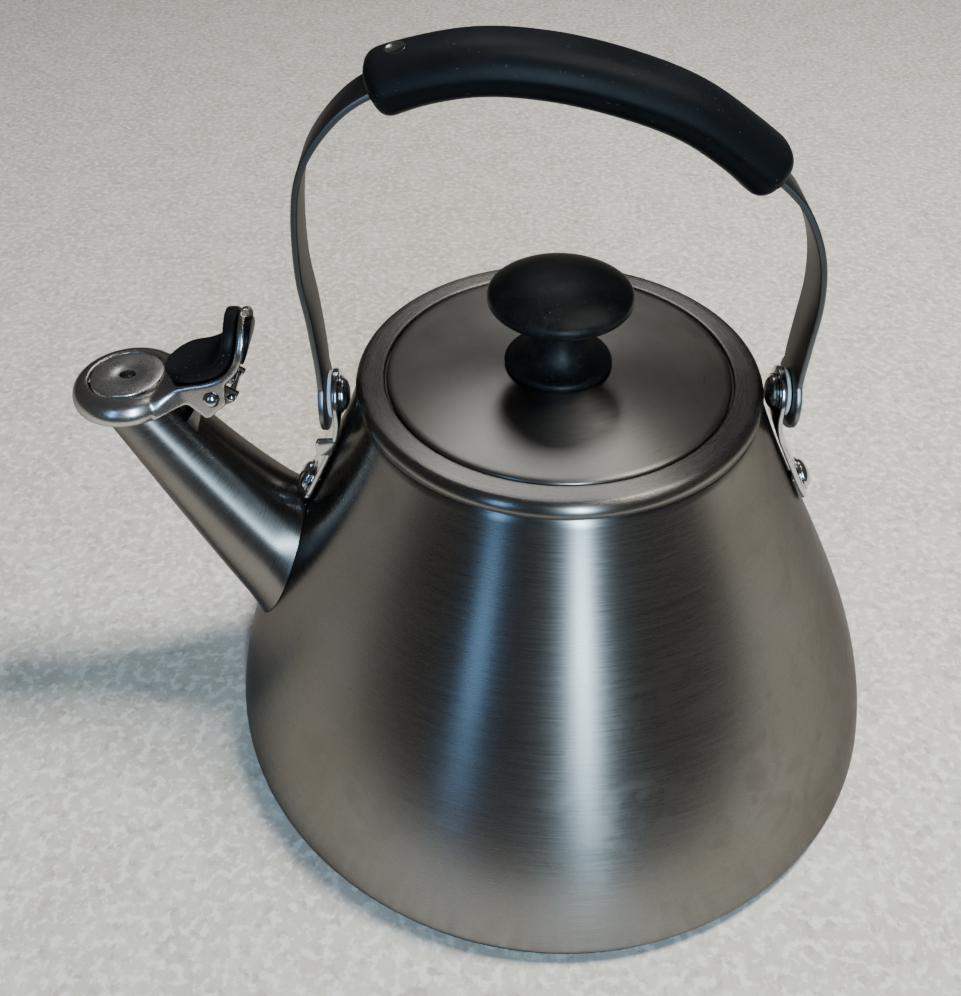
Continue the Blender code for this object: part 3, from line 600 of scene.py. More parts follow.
def body_profile():
    """Outer face from the bottom's middle to the throat's lip, then back along the inner face."""
    ledge = RIM_TOP - 0.0012
    corner = BODY_RADIUS - BASE_RADIUS
    turn_up = arc((BASE_RADIUS, BODY_BOTTOM + corner), corner, -90, -15, 6)
    bottom = [(0.0, BODY_BOTTOM), (0.05, BODY_BOTTOM), *turn_up]
    crease = [(0.05655, 0.1219), (0.0563, 0.1222), (0.0563, 0.1225), (0.0566, 0.1228)]
    rim = [(0.0569, 0.1233), *arc((0.0543, RIM_TOP - 0.0027), 0.0027, 0, 80, 10), (0.0530, RIM_TOP),
           (0.0500, RIM_TOP)]
    recess = [*arc((RECESS_RADIUS + 0.0006, RIM_TOP - 0.0006), 0.0006, 90, 180, 5), (RECESS_RADIUS, ledge)]
    throat = [*arc((THROAT_RADIUS + 0.0008, ledge - 0.0008), 0.0008, 90, 180, 4), (THROAT_RADIUS, 0.1200)]
    outer = [*bottom, *bezier(FLANK, 72), *crease, *rim, *recess, *throat]
    inner = [(THROAT_RADIUS + SHEET, 0.1200), (THROAT_RADIUS + SHEET, ledge - SHEET), (0.0536, ledge - SHEET),
             (0.0556, 0.1240), (0.0553, 0.1222)]
    inner += [(radius - SHEET, height - 0.0003) for radius, height in reversed(bezier(FLANK, 48))]
    inner += [(0.0995, BODY_BOTTOM + SHEET), (0.0, BODY_BOTTOM + SHEET)]
    return [*outer, *inner]


def make_body(steel):
    body = make_object("body_shell", turned(body_profile()))
    combine(body, skin(spout_rings(-0.0025, lambda _angle: -0.15, lambda _angle: 0.62, 24)))
    return place(body, "body", "brushed_steel", steel, "kettle_body")


def make_base(dark, aluminium):
    edge = arc((BASE_RADIUS - 0.0012, 0.0012), 0.0012, -90, 0, 8)
    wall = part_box("base_core")[1].y + GAP
    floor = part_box("base_core")[0].z - GAP
    lip = arc((BASE_RADIUS - 0.0005, BASE_TOP - 0.0005), 0.0005, 0, 90, 4)
    profile = [(0.0, 0.0), (0.060, 0.0), *edge, *lip,
               (wall, BASE_TOP), (wall, floor), (0.0, floor)]
    place(make_object("base_pan", turned(profile)), "body", "dark_base", dark, "base_cap")
    core = frame["nodes"]["base_core"]
    core.data.materials.clear()
    core.data.materials.append(aluminium)


def spout_centre(t):
    return (1 - t) ** 2 * SPOUT_ROOT + 2 * t * (1 - t) * SPOUT_ELBOW + t**2 * SPOUT_TIP


def spout_radius(t):
    root, elbow, tip = SPOUT_RADII
    return (1 - t) ** 2 * root + 2 * t * (1 - t) * elbow + t**2 * tip


def spout_point(t, angle, grow):
    along = (spout_centre(t + 0.01) - spout_centre(t - 0.01)).normalized()
    side = Vector((0.0, 1.0, 0.0))
    up = along.cross(side)
    return spout_centre(t) + (spout_radius(t) + grow) * (math.cos(angle) * side + math.sin(angle) * up)


def bisect(inside, low, high):
    """The share between low and high at which a point stops being inside."""
    for _ in range(30):
        middle = (low + high) / 2
        if inside(middle):
            low = middle
        else:
            high = middle
    return low


def spout_rings(grow, start, end, steps, flare=lambda distance: 0.0):
    """Rings between two ends that may lie at a different share for each angle around."""
    turn = [2 * math.pi * k / SPOUT_COLUMNS for k in range(SPOUT_COLUMNS)]
    starts = [start(a) for a in turn]
    ends = [end(a) for a in turn]
    rings = []
    for i in range(steps + 1):
        ring = []
        for a, low, high in zip(turn, starts, ends):
            t = low + (high - low) * i / steps
            distance = (spout_centre(t) - spout_centre(low)).length
            ring.append(spout_point(t, a, grow + flare(distance)))
        rings.append(ring)
    return rings


def make_spout(steel):
    """A tapered tube, cut to the flank at its root and level at its mouth, with a slight weld flare."""
    def root(grow):
        def within(angle):
            def inside(t):
                point = spout_point(t, angle, grow)
                return point.xy.length < flank_radius(point.z) + GAP / 2
            return bisect(inside, -0.15, 0.62)
        return within

    def mouth(grow):
        return lambda angle: bisect(lambda t: spout_point(t, angle, grow).z < MOUTH_Z, 0.6, 1.2)

    def flare(distance):
        return 0.0009 * max(0.0, 1 - distance / 0.0085) ** 2

    outer = spout_rings(0.0, root(0.0009), mouth(0.0), 64, flare)
    inner = spout_rings(-SHEET, root(-SHEET), mouth(-SHEET), 40)
    spout = make_object("spout", skin([*outer, *reversed(inner)], joined=True))
    return place(spout, "body", "brushed_steel", steel, "spout_tube")


# ---- brackets and rivets ----
def foot_seat(side):
    normal = flank_normal(FOOT_Z)
    return (Vector((side * flank_radius(FOOT_Z), 0.0, FOOT_Z)), Vector((side * normal.x, 0.0, normal.y)))


def make_bracket(label, side, tab_side, steel):
    """A pressed strip: flat head on the pivot, a joggle, then a foot that follows the flank."""
    half = BRACKET_SHEET / 2
    head_x = BRACKET_BOX[0].x
    knots = [(head_x + half, PIVOT_Z + BRACKET_HALF_WIDTH), (head_x + half, PIVOT_Z), (head_x + half, 0.1115)]
    for i in range(7):
        height = 0.1055 - i * 0.0044
        normal = flank_normal(height)
        stand = half + 2 * GAP
        knots.append((flank_radius(height) + normal.x * stand, height + normal.y * stand))
    line = spline(knots, 8)
    if side < 0:
        line = [Vector((-p.x, p.y)) for p in reversed(line)]
    line, widths, _places = round_ended(line, BRACKET_HALF_WIDTH)

    def section(step):
        width = widths[step]
        return round_rectangle(width, half, min(0.00045, width * 0.4), 3)

    bracket = make_object(f"bracket_{label}_strip", swept(line, section))
    outer = head_x + BRACKET_SHEET
    low_corner = arc((outer + 0.0044, 0.1026), 0.0014, -90, 0, 5)
    high_corner = arc((outer + 0.0044, 0.1056), 0.0014, 0, 90, 5)
    tab = [(outer + 0.0016, 0.1012), *low_corner, *high_corner, (outer - 0.0004, 0.1070)]
    tab = [(side * x, z) for x, z in tab]
    low = tab_side * (BRACKET_HALF_WIDTH - 0.0011)
    high = tab_side * (BRACKET_HALF_WIDTH + 0.0003)
    tongue = make_object("tongue", plate(tab, min(low, high), max(low, high)))
    bevel(tongue, 0.0003, 3)
    tongue_mesh = bmesh.new()
    tongue_mesh.from_mesh(tongue.data)
    bpy.data.objects.remove(tongue, do_unlink=True)
    combine(bracket, tongue_mesh, "UNION")
    return place(bracket, "body", "polished_steel", steel, f"bracket_{label}")


def rivet_profile(shank, length, head_radius, head_height, tail_radius, tail_height):
    """A domed head on a thin flange below z=0, a shank, and a low tail head above z=length."""
    dome_radius = head_radius * 0.86
    dome = [(dome_radius * math.sin(a), -head_height + (head_height - 0.0007) * (1 - math.cos(a)))
            for a in [math.pi / 2 * i / 14 for i in range(15)]]
    flange = [(head_radius - 0.0003, -0.0007), (head_radius, -0.0004), (head_radius - 0.0001, 0.0)]
    tail = [(tail_radius * math.cos(a), length + tail_height * math.sin(a))
            for a in [math.pi / 2 * i / 8 for i in range(9)]]
    return [*dome, *flange, (shank, 0.0), (shank, length), *tail]


def make_rivets(label, side, steel):
    start = PIVOT_RIVET_BOX[0].x + 0.0027
    length = PIVOT_RIVET_BOX[1].x - 0.0012 - start
    placed = along_axis((side * start, 0.0, PIVOT_Z), (side, 0, 0))
    profile = rivet_profile(0.0026, length, 0.0056, 0.0027, 0.0042, 0.0012)
    place(make_object(f"pivot_dome_{label}", turned(profile, 64, placed)),
          "body", "polished_steel", steel, f"pivot_rivet_{label}")
    point, normal = foot_seat(side)
    outside = 2 * GAP + BRACKET_SHEET + GAP
    placed = along_axis(point + outside * normal, -normal)
    profile = rivet_profile(0.0020, outside + SHEET + GAP, 0.0052, 0.0028, 0.0034, 0.0008)
    place(make_object(f"foot_dome_{label}", turned(profile, 64, placed)),
          "body", "polished_steel", steel, f"foot_rivet_{label}")


def make_washer(label, side, nylon):
    inner, outer, thick = PIVOT_HOLE, 0.0068, WASHER_BOX[1].x - WASHER_BOX[0].x
    soft = 0.0002
    profile = [(inner, soft), (inner + soft, 0.0), (outer - soft, 0.0), (outer, soft),
               (outer, thick - soft), (outer - soft, thick), (inner + soft, thick), (inner, thick - soft)]
    placed = along_axis((side * WASHER_BOX[0].x, 0.0, PIVOT_Z), (side, 0, 0))
    place(make_object(f"washer_{label}", turned(profile, 64, placed)),
          "handle", "white_nylon", nylon, f"pivot_washer_{label}")


# ---- handle ----
STRAP_X = 0.0663
FRONT_ARM = ((-0.0672, 0.1470), (-0.0686, 0.1620), (-0.0678, 0.1800), (-0.0650, 0.1920), (-0.0585, 0.2020))
GRIP_LINE = ((-0.0502, 0.2094), (-0.0400, 0.2133), (-0.0220, 0.2164), (-0.0040, 0.2150),
             (0.0140, 0.2104), (0.0300, 0.2038), (0.0440, 0.1940), (0.0555, 0.1845))
REAR_ARM = ((0.0615, 0.1765), (0.0660, 0.1650), (0.0676, 0.1520), (0.0669, 0.1380))


def make_strap(steel):
    """One flat strap bent over the kettle, widening into a disc at each pivot."""
    low = PIVOT_Z - DISC_END_RADIUS
    ends = [(-STRAP_X, low), (-STRAP_X, PIVOT_Z - 0.005), (-STRAP_X, PIVOT_Z), (-STRAP_X, PIVOT_Z + 0.013)]
    rear_end = [(STRAP_X, PIVOT_Z + 0.010), (STRAP_X, PIVOT_Z), (STRAP_X, PIVOT_Z - 0.005), (STRAP_X, low)]
    line = spline([*ends, *FRONT_ARM, *GRIP_LINE, *REAR_ARM, *rear_end], 12)
    line, widths, places = round_ended(line, DISC_END_RADIUS)
    total = places[-1]

    def section(step):
        """Half a disc's width at the end, then its shoulders, then the strap's own width."""
        from_end = min(places[step], total - places[step])
        disc = widths[step]
        if from_end > DISC_END_RADIUS:
            disc = math.sqrt(max(DISC_END_RADIUS**2 - (from_end - DISC_END_RADIUS) ** 2, 0.0))
        shoulder = STRAP_HALF_WIDTH * smooth_step((from_end - DISC_END_RADIUS) / 0.0075)
        width = max(disc, shoulder, 0.0005)
        return round_rectangle(width, STRAP_SHEET / 2, min(0.0005, width * 0.5), 3)

    strap = make_object("strap", swept(line, section))
    for side in (-1, 1):
        combine(strap, bore(PIVOT_HOLE, 0.009, (side * (STRAP_X - 0.004), 0.0, PIVOT_Z), (side, 0, 0), 48))
    return place(strap, "handle", "brushed_steel", steel, "handle_strap")


def grip_section(share):
    """Crowned top, a soft ridge and parting line along each side, and sides that draw in below."""
    half = [(0.00, 1.00), (0.30, 0.985), (0.56, 0.90), (0.78, 0.70), (0.91, 0.42), (0.975, 0.16),
            (1.0, -0.02), (0.992, -0.13), (0.962, -0.165), (0.958, -0.24), (0.925, -0.46), (0.82, -0.71),
            (0.62, -0.89), (0.32, -0.98)]
    ring = [*half, (0.0, -1.0), *[(-x, y) for x, y in reversed(half[1:])]]
    from_end = min(share, 1 - share)
    cap = math.sqrt(1 - (1 - min(from_end / 0.035, 1.0)) ** 2)
    width = 0.62 + 0.38 * cap
    lift = 0.55 + 0.45 * cap
    swell = 1 + 0.08 * math.exp(-((from_end - 0.045) / 0.045) ** 2)
    points = []
    for x, y in ring:
        height = y * GRIP_HALF_HEIGHT * lift * (swell if y < 0 else 1.0)
        points.append((x * GRIP_HALF_WIDTH * width, height))
    return points


def make_grip(rubber, steel):
    centre = spline(GRIP_LINE, 20)
    lengths = measured(centre)
    count = 150
    low, high = GRIP_INSET[0], lengths[-1] - GRIP_INSET[1]
    fine = [at_distance(centre, lengths, low + (high - low) * i / count) for i in range(count + 1)]
    grip = make_object("grip", swept(fine, lambda step: grip_section(step / (len(fine) - 1))))
    subdivide = grip.modifiers.new("smooth", "SUBSURF")
    subdivide.levels = subdivide.render_levels = 1
    apply_modifiers(grip)
    combine(grip, bore(0.0026, 0.0125, (0.0040, 0.0, 0.1990), (0.2, 0, 1), 40))
    place(grip, "handle", "soft_black", rubber, "handle_grip")
    badge_low, badge_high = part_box("grip_badge")
    middle = (badge_low + badge_high) / 2
    profile = [(0.0, -0.0004), (0.0034, -0.0004), (0.0037, -0.0001), (0.0036, 0.0002), (0.0030, 0.0004),
               (0.0028, 0.0003), (0.0, 0.0004)]
    oval = Matrix.Diagonal((1.0, 0.74, 1.0, 1.0))
    placed = along_axis(middle + Vector((0.0, -0.0010, 0.0)), (-0.22, -0.10, 1.0)) @ oval
    place(make_object("badge", turned(profile, 64, placed)), "handle", "polished_steel", steel, "grip_badge")


# ---- lid and knob ----
def lid_height(radius):
    return RIM_TOP + (LID_TOP - RIM_TOP) * (1 - (radius / LID_RADIUS) ** 2)


def make_lid(brushed, polished):
    radii = [0.0023 + (LID_RADIUS - 0.0008 - 0.0023) * i / 36 for i in range(37)]
    top = [(radius, lid_height(radius)) for radius in radii]
    edge = [(LID_RADIUS - 0.0004, RIM_TOP - 0.0001), (LID_RADIUS - 0.0001, RIM_TOP - 0.0003),
            (LID_RADIUS, RIM_TOP - 0.0006)]
    bottom = [(radius, lid_height(radius) - 0.0008) for radius in reversed(radii[::4])]
    place(make_object("lid_disc", turned([*top, *edge, *bottom])),
          "lid", "brushed_steel", brushed, "lid_plate")
    inner = SKIRT_RADIUS - 0.0008
    outer, foot, roof = SKIRT_RADIUS, SKIRT_FOOT, SKIRT_TOP
    skirt = [(outer, roof), (outer, foot + 0.0012), (outer - 0.0004, foot + 0.0004), (outer - 0.0012, foot),
             (inner - 0.0012, foot + 0.0003), (inner, foot + 0.0014), (inner, roof - 0.0016),
             (inner - 0.0008, roof - 0.0008), (inner - 0.006, roof - 0.0008), (inner - 0.006, roof)]
    place(make_object("lid_collar", turned(skirt, 192)), "lid", "brushed_steel", brushed, "lid_skirt")
    low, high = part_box("lid_washer")
    washer = [(0.0023, low.z), (0.0070, low.z), (0.0078, low.z + 0.0002), (high.y, high.z - 0.0006),
              (high.y, high.z), (0.0070, high.z), (0.0023, high.z)]
    place(make_object("lid_dished_washer", turned(washer, 96)),
          "lid", "polished_steel", polished, "lid_washer")
    low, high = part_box("lid_screw")
    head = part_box("lid_washer")[0].z - GAP
    screw = [(0.0, low.z), (0.0022, low.z + 0.0001), (0.0034, low.z + 0.0006), (0.0042, low.z + 0.0016),
             (0.0042, head), (0.0020, head), (0.0020, high.z - 0.0004), (0.0, high.z)]
    screw = make_object("lid_screw_turned", turned(screw, 64))
    slot = bmesh.new()
    bmesh.ops.create_cube(slot, size=1.0, matrix=Matrix.Translation((0, 0, low.z)) @ Matrix.Diagonal(
        (0.0008, 0.006, 0.0018, 1)))
    combine(screw, slot)
    place(screw, "lid", "polished_steel", polished, "lid_screw")


def make_knob(plastic):
    foot = KNOB_FOOT
    top = KNOB_LIP - GAP
    skirt = [(KNOB_FOOT_RADIUS - 0.0008, foot), (KNOB_FOOT_RADIUS - 0.0002, foot + 0.0003),
             (KNOB_FOOT_RADIUS, foot + 0.0009), (KNOB_FOOT_RADIUS - 0.0003, foot + 0.0016)]
    flare = bezier([(KNOB_FOOT_RADIUS - 0.0008, foot + 0.0021), (0.0098, foot + 0.0036),
                    (0.0070, foot + 0.0070), (0.0074, top - 0.0028)], 20)
    neck = [(0.0077, top - 0.0014), (0.0084, top - 0.0002)]
    socket = [(0.0, top - 0.0002), (0.0, top - 0.0036), (0.0023, top - 0.0036), (0.0023, foot + 0.0005)]
    place(make_object("knob_stem", turned([*skirt, *flare, *neck, *socket], 128)),
          "lid", "black_plastic", plastic, "knob_base")
    lip = KNOB_LIP + GAP
    under = [(0.0, lip - GAP), (0.0100, lip - GAP), (KNOB_RADIUS - 0.0042, lip - GAP),
             (KNOB_RADIUS - 0.0036, lip), (KNOB_RADIUS - 0.0030, lip + 0.0006)]
    edge = arc((KNOB_RADIUS - 0.0023, lip + 0.0030), 0.0023, -80, 55, 14)
    dome = bezier([edge[-1], (0.0162, lip + 0.0068), (0.0110, KNOB_TOP), (0.0, KNOB_TOP)], 28)
    place(make_object("knob_mushroom", turned([*under, *edge, *dome[1:]], 160)),
          "lid", "black_plastic", plastic, "knob_cap")


# ---- whistle ----
LEVER_LINE = ((-0.1145, 0.1240), (-0.1095, 0.1256), (-0.1040, 0.1272), (-0.0975, 0.1284), (-0.0925, 0.1308),
              (-0.0890, 0.1352), (-0.0873, 0.1410), (-0.0870, 0.1466))
NECK_END = 0.0100


def lever_channel(half, depth, roll):
    """An upside-down U: a top sheet with rolled corners and two side walls of a given depth."""
    top = EAR_SHEET / 2
    roll = min(roll, half * 0.6)
    wall = min(EAR_SHEET, half * 0.7)
    slant = min(roll * 0.6, max(depth - top, 0.0), half - wall)
    outer = [(half, -depth), *arc((half - roll, top - roll), roll, 0, 90, 5),
             *arc((roll - half, top - roll), roll, 90, 180, 5), (-half, -depth)]
    return [*outer, (wall - half, -depth), (wall - half, -top - slant), (wall + slant - half, -top),
            (half - wall - slant, -top), (half - wall, -top - slant), (half - wall, -depth)]


def make_whistle_cap(steel):
    """One stamped sheet: round cap, neck, hinge ears and thumb lever, fused with soft corners."""
    placed = Matrix.Translation((CAP_X, 0.0, 0.0))
    middle = (CAP_HOLE_RADIUS + 0.0008, CAP_RIM_Z + 0.0022)
    bulge = (CAP_RADIUS - middle[0], CAP_TOP - middle[1])
    outer = [(middle[0] + bulge[0] * x, middle[1] + bulge[1] * z)
             for x, z in arc((0.0, 0.0), 1.0, -28, 88, 20)]
    inner = [(CAP_HOLE_RADIUS, CAP_TOP), (CAP_HOLE_RADIUS, CAP_TOP - 0.0011),
             (CAP_RADIUS - 0.0052, CAP_TOP - 0.0014), (CAP_RADIUS - 0.0022, CAP_TOP - 0.0034),
             (CAP_RADIUS - 0.0020, CAP_RIM_Z + 0.0010)]
    cap = make_object("whistle_stamping", turned([*outer, *inner], 128, placed))
    line, widths, places = round_ended(spline(LEVER_LINE, 10), EAR_Y + EAR_SHEET, start=False, step=0.0005)

    def section(step):
        """Wide and deep at the cap, and a shallow rolled edge up the lever."""
        flow = 1 - smooth_step(places[step] / NECK_END)
        skirt = 1 - smooth_step((places[step] - 0.0090) / 0.0080)
        depth = min(0.0019 + 0.0036 * skirt, 0.0006 + widths[step])
        return lever_channel(widths[step] + 0.0034 * flow, depth, 0.0010 + 0.0026 * flow)

    ear = [(-0.1056, 0.1262), (-0.1043, 0.1222), (-0.0996, 0.1168), (-0.0984, 0.1166), (-0.0972, 0.1172),
           (-0.0957, 0.1190), (-0.0932, 0.1210), (-0.0925, 0.1222), (-0.0926, 0.1245), (-0.0920, 0.1290),
           (-0.0975, 0.1283), (-0.1040, 0.1271)]
    bodies = bmesh.new()
    bodies.from_mesh(cap.data)
    plates = [plate(ear, low, low + EAR_SHEET) for low in (-EAR_Y - EAR_SHEET, EAR_Y)]
    for extra in (swept(line, section), *plates):
        mesh = bpy.data.meshes.new("extra")
        extra.to_mesh(mesh)
        extra.free()
        bodies.from_mesh(mesh)
    bodies.to_mesh(cap.data)
    bodies.free()
    remesh(cap, 0.00032, 24)
    for reach in (-0.015, 0.0):
        combine(cap, bore(PIN_RADIUS + GAP, 0.015, (HINGE_X, reach, HINGE_Z), (0, 1, 0), 40))
    return place(cap, "whistle", "brushed_steel", steel, "whistle_cap")


def make_discs(bright, steel):
    placed = Matrix.Translation((CAP_X, 0.0, 0.0))
    foot, top = DISC_LOW.z, DISC_HIGH.z
    lip = [(DISC_RADIUS - 0.0002, foot), (DISC_RADIUS, foot + 0.0002), (DISC_RADIUS, top - 0.0007),
           *arc((DISC_RADIUS - 0.0005, top - 0.0006), 0.0005, 0, 85, 5)]
    dish = [(0.0060, top), (0.0048, top - 0.00005), (0.0036, top - 0.0003), (0.0026, top - 0.0005),
            (0.0, top - 0.0005)]
    disc = make_object("whistle_disc", turned([(0.0, foot), *lip, (0.0080, top), *dish], 128, placed))
    oval = [(1.0, -0.004), (1.0, 0.004), (0.0, 0.004), (0.0, -0.004)]
    hole_size = Matrix.Diagonal((*WHISTLE_HOLE, 1.0, 1.0))
    combine(disc, turned(oval, 48, Matrix.Translation((CAP_X, 0.0, CAP_TOP)) @ hole_size))
    place(disc, "whistle", "polished_steel", bright, "whistle_disc_upper")
    low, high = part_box("whistle_disc_lower")
    rim = (high.y - low.y) / 2
    profile = [(0.0016, low.z), (rim - 0.0003, low.z), (rim, low.z + 0.0003), (rim, high.z), (0.0016, high.z)]
    place(make_object("whistle_chamber_disc", turned(profile, 96, placed)),
          "whistle", "brushed_steel", steel, "whistle_disc_lower")


def make_pads(rubber):
    """The dished thumb rest on the lever's face, and its retainer behind."""
    line = spline(LEVER_LINE, 16)[16:]
    thickness = 0.0017
    face = offset_line(line, EAR_SHEET / 2 + GAP + thickness)
    front, widths, _places = round_ended(face, 0.0091, step=0.0006)

    def pad(step):
        """Straight side walls, a raised rim and a shallow dish between."""
        width = widths[step]
        soft = min(0.0005, width * 0.4)
        rim = max(width - 0.0012, width * 0.7)
        dish = thickness * (1 - 0.42 * smooth_step((width - 0.003) / 0.006))
        half = [(width - soft, -thickness), (width, soft - thickness), (width, thickness - soft),
                (width - soft * 0.4, thickness - soft * 0.2), (rim, thickness),
                (rim * 0.88, thickness * 0.82 + dish * 0.1),
                (rim * 0.5, dish), (0.0, dish * 0.92)]
        return [(0.0, -thickness), *half, *[(-x, y) for x, y in reversed(half[:-1])]]

    front_pad = make_object("thumb_rest", swept(front, pad))
    subdivide = front_pad.modifiers.new("smooth", "SUBSURF")
    subdivide.levels = subdivide.render_levels = 1
    apply_modifiers(front_pad)
    place(front_pad, "whistle", "soft_black", rubber, "thumb_pad")
    back = offset_line(line[62:-8], -(EAR_SHEET / 2 + GAP + 0.0009))
    back, widths, _places = round_ended(back, 0.0066, start=False)
    back_pad = make_object("thumb_rest_back", swept(
        back, lambda step: round_rectangle(widths[step], 0.0009, min(0.0005, widths[step] * 0.5), 3)))
    place(back_pad, "whistle", "soft_black", rubber, "thumb_pad_back")


def make_hinge(steel, bright):
    """The folded lug on the spout and its two domed pins."""
    half = 0.0060
    outline = [(-0.1060, 0.1128), (-0.1012, 0.1203), (-0.0985, 0.1258), (-0.0949, 0.1264), (-0.0932, 0.1251),
               (-0.0913, 0.1238), (-0.0897, 0.1227), (-0.0906, 0.1212), (-0.0922, 0.1196), (-0.0972, 0.1174),
               (-0.1012, 0.1166), (-0.1040, 0.1080)]
    lug = make_object("hinge_lug", plate(outline, -half, half))
    inner = half - EAR_SHEET
    channel = [(-0.1110, 0.1160), (-0.1060, 0.1290), (-0.0860, 0.1290), (-0.0860, 0.1180), (-0.0960, 0.1170),
               (-0.1000, 0.1150)]
    combine(lug, plate(channel, -inner, inner))
    seat = skin(spout_rings(GAP, lambda _a: 0.3, lambda _a: 1.15, 40))
    combine(lug, seat)
    bevel(lug, 0.0003, 2)
    reach = 0.02
    for x, z, radius in ((HINGE_X, HINGE_Z, PIN_RADIUS + GAP), (STOP_X, STOP_Z, STOP_RADIUS + GAP)):
        combine(lug, bore(radius, 2 * reach, (x, -reach, z), (0, 1, 0), 40))
    # The lug's steel is a darkened copy, painted shade for where it sits in shadow.
    place(lug, "body", "brushed_steel", steel, "spout_hinge_lug")
    outside = EAR_Y + EAR_SHEET + GAP
    placed = along_axis((HINGE_X, -outside, HINGE_Z), (0, 1, 0))
    place(make_object("hinge_pin", turned(dome_pin(PIN_RADIUS, 2 * outside, *PIN_HEAD), 64, placed)),
          "body", "polished_steel", bright, "whistle_hinge_pin")
    outside = half + GAP
    placed = along_axis((STOP_X, -outside, STOP_Z), (0, 1, 0))
    place(make_object("stop_pin", turned(dome_pin(STOP_RADIUS, 2 * outside, *STOP_HEAD), 48, placed)),
          "body", "polished_steel", bright, "whistle_stop_pin")


def dome_pin(shank, length, head, height):
    """A pin with a domed head at each end."""
    turn = [math.pi / 2 * i / 12 for i in range(13)]
    near = [(head * math.sin(a), -height * math.cos(a)) for a in turn]
    far = [(head * math.cos(a), length + height * math.sin(a)) for a in turn]
    return [*near, (shank, 0.0), (shank, length), *far]


def make_spring(steel):
    """Turns of round wire around the hinge pin, with a short leg at each end."""
    wire, coil, turns, per_turn = 0.0004, 0.0024, 4, 28
    centre = Vector((HINGE_X, 0.0, HINGE_Z))
    points = []
    for i in range(turns * per_turn + 1):
        share = i / (turns * per_turn)
        a = 2 * math.pi * turns * share
        points.append(Vector((coil * math.cos(a), 0.0036 * (2 * share - 1), coil * math.sin(a))))
    leg = Vector((0.0, 0.0, -0.0042))
    points = [points[0] + leg, points[0] + leg / 2, *points, points[-1] + leg / 2, points[-1] + leg]
    rings = []
    last = len(points) - 1
    for i, point in enumerate(points):
        along = (points[min(i + 1, last)] - points[max(i - 1, 0)]).normalized()
        side = along.cross(Vector((point.x, 0.0, point.z))).normalized()
        out = side.cross(along)
        turn = [2 * math.pi * k / 12 for k in range(12)]
        rings.append([point + centre + wire * (math.cos(a) * side + math.sin(a) * out) for a in turn])
    place(make_object("return_spring", skin(rings)), "body", "polished_steel", steel, "whistle_spring")


# ---- surroundings ----
WORKTOP_SIZE = 4.0
WORKTOP_FRONT = -0.165
CAMERA_PLACE = (-0.0197, -0.2526, 0.3142)
CAMERA_PITCH, CAMERA_YAW, CAMERA_ROLL = 36.47, -1.54, -1.27
CAMERA_LENS = 40.3
CAMERA_SHIFT = (0.017, -0.132)


def make_floor():
    """A pale, faintly speckled worktop. It ends close in front, so that the steel reflects a dim room."""
    bm = bmesh.new()
    centre = Matrix.Translation((0.0, WORKTOP_FRONT + WORKTOP_SIZE / 2, 0.0))
    bmesh.ops.create_grid(bm, x_segments=8, y_segments=8, size=WORKTOP_SIZE / 2, matrix=centre)
    floor = make_object("worktop", bm)
    shader = Shader("pale_worktop")
    where = shader.object_place()
    cloud = shader.spread(shader.noise(where, 45.0, 4.0, 0.6), 0.42, 0.58)
    speck = shader.spread(shader.noise(where, 300.0, 3.0, 0.6), 0.50, 0.60)
    brown = shader.spread(shader.noise(where, 210.0, 3.0, 0.6), 0.54, 0.66)
    tone = shader.mix(cloud, (0.58, 0.545, 0.47), (0.65, 0.62, 0.55))
    tone = shader.mix(shader.math("MULTIPLY", brown, 0.6), tone, (0.40, 0.35, 0.28))
    tone = shader.mix(shader.math("MULTIPLY", speck, 0.75), tone, (0.88, 0.86, 0.80))
    shader.set("Base Color", tone)
    shader.set("Roughness", shader.spread(speck, 0.0, 1.0, 0.55, 0.70))
    shader.bump(speck, 0.0001, 0.15)
    floor.data.materials.append(shader.material)


def area_light(name, place_at, aim, size, power, colour, mirrored=True):
    data = bpy.data.lights.new(name, "AREA")
    data.shape = "RECTANGLE"
    data.size, data.size_y = size
    data.energy = power
    data.color = colour
    light = bpy.data.objects.new(name, data)
    light.location = place_at
    light.visible_camera = False
    light.visible_glossy = mirrored
    light.rotation_mode = "QUATERNION"
    light.rotation_quaternion = (Vector(aim) - Vector(place_at)).to_track_quat("-Z", "Y")
    bpy.context.scene.collection.objects.link(light)


def make_world():
    """A pale backdrop to the eye, and a dim room to everything that reflects it."""
    world = bpy.data.worlds.new("studio")
    world.use_nodes = True
    nodes, links = world.node_tree.nodes, world.node_tree.links
    backdrop = nodes["Background"]
    backdrop.inputs["Color"].default_value = (0.60, 0.59, 0.57, 1.0)
    room = nodes.new("ShaderNodeBackground")
    room.inputs["Color"].default_value = (0.060, 0.060, 0.062, 1.0)
    seen = nodes.new("ShaderNodeLightPath")
    pick = nodes.new("ShaderNodeMixShader")
    links.new(seen.outputs["Is Camera Ray"], pick.inputs[0])
    links.new(room.outputs[0], pick.inputs[1])
    links.new(backdrop.outputs[0], pick.inputs[2])
    links.new(pick.outputs[0], nodes["World Output"].inputs["Surface"])
    bpy.context.scene.world = world


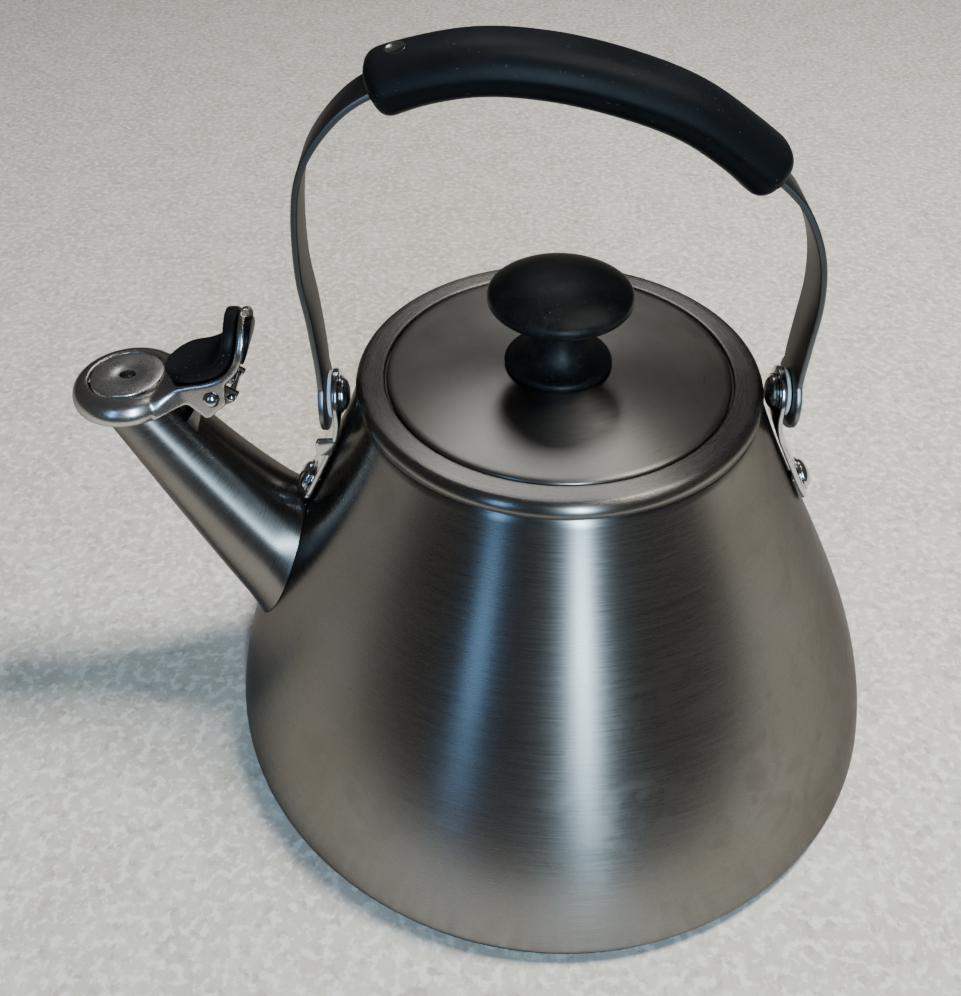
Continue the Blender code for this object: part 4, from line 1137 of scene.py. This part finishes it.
def make_lights():
    """A soft key high on the right, a small panel behind, and two narrow windows in front."""
    middle = (0.0, 0.0, 0.08)
    area_light("key", (0.36, 0.06, 1.05), middle, (0.22, 0.22), 11.5, (1.0, 0.96, 0.90), mirrored=False)
    area_light("key_glint", (0.36, 0.06, 1.05), middle, (0.22, 0.22), 5.5, (1.0, 0.96, 0.90))
    area_light("back_panel", (0.0, 0.90, 1.20), middle, (0.50, 0.40), 2.2, (0.96, 0.98, 1.0))
    area_light("window_blue", (-0.60, -1.04, 0.50), middle, (0.15, 0.75), 2.0, (0.24, 0.54, 1.0))
    area_light("window_white", (0.20, -1.19, 0.55), middle, (0.11, 0.85), 17.0, (0.54, 0.78, 1.0))


def make_camera():
    """Close in front and above, looking down from slightly left of centre."""
    pitch, yaw, roll = (math.radians(angle) for angle in (CAMERA_PITCH, CAMERA_YAW, CAMERA_ROLL))
    forward = Vector((math.sin(yaw) * math.cos(pitch), math.cos(yaw) * math.cos(pitch), -math.sin(pitch)))
    right = Vector((math.cos(yaw), -math.sin(yaw), 0.0))
    up = right.cross(forward)
    right, up = (math.cos(roll) * right + math.sin(roll) * up, -math.sin(roll) * right + math.cos(roll) * up)
    data = bpy.data.cameras.new("camera")
    data.sensor_width = 36.0
    data.lens = CAMERA_LENS
    data.shift_x, data.shift_y = CAMERA_SHIFT
    camera = bpy.data.objects.new("camera", data)
    rotation = Matrix((right, up, -forward)).transposed().to_4x4()
    camera.matrix_world = Matrix.Translation(CAMERA_PLACE) @ rotation
    bpy.context.scene.collection.objects.link(camera)
    bpy.context.scene.camera = camera


# ---- the kettle ----
def main():
    steel = (0.262, 0.250, 0.234)
    body_steel = brushed_steel("brushed_steel_body", lambda s: s.turned_grain(5.0, 2600.0),
                               steel, 0.27, 0.80, stains=0.65)
    lid_steel = brushed_steel("brushed_steel_lid", lambda s: s.turned_grain(4.0, 2600.0),
                              steel, 0.30, 0.70)
    spout_steel = brushed_steel("brushed_steel_spout", lambda s: s.turned_grain(2.5, 2400.0),
                                steel, 0.28, 0.60)
    strap_steel = brushed_steel("brushed_steel_strap", lambda s: s.long_grain(120.0, 90.0),
                                (0.24, 0.24, 0.237), 0.34, stains=0.5)
    small_steel = brushed_steel("brushed_steel_small", small_grain, (0.60, 0.575, 0.55), 0.24, stains=0.6)
    # A darker copy of the small pieces' steel: painted shade on the lug, which sits in shadow under the
    # whistle's ears.
    lug_steel_painted_shade = brushed_steel("brushed_steel_lug_painted_shade", small_grain, (0.20, 0.19, 0.18), 0.30, stains=0.6)
    bright = polished_steel("polished_steel", (0.58, 0.58, 0.57), 0.14)
    disc_bright = polished_steel("polished_disc", (0.74, 0.715, 0.68), 0.26)
    grip_black = black_rubber("soft_touch_black", (0.003, 0.004, 0.005), 0.44, 0.5)
    pad_black = black_rubber("pad_black", (0.004, 0.004, 0.005), 0.42, 1.0)
    knob_black = knob_plastic("knob_black", (0.005, 0.005, 0.005))
    dark = dark_base_metal("dark_base")
    nylon = white_nylon("white_nylon")

    make_body(body_steel)
    make_base(dark, spun_aluminium("spun_aluminium"))
    make_spout(spout_steel)
    for label, side, tab_side in (("front", -1, -1), ("rear", 1, 1)):
        make_bracket(label, side, tab_side, bright)
        make_rivets(label, side, bright)
        make_washer(label, side, nylon)
    make_strap(strap_steel)
    make_grip(grip_black, bright)
    make_lid(lid_steel, bright)
    make_knob(knob_black)
    make_whistle_cap(small_steel)
    make_discs(disc_bright, small_steel)
    make_pads(pad_black)
    make_hinge(lug_steel_painted_shade, bright)
    make_spring(bright)
    make_floor()
    make_world()
    make_lights()
    make_camera()


main()
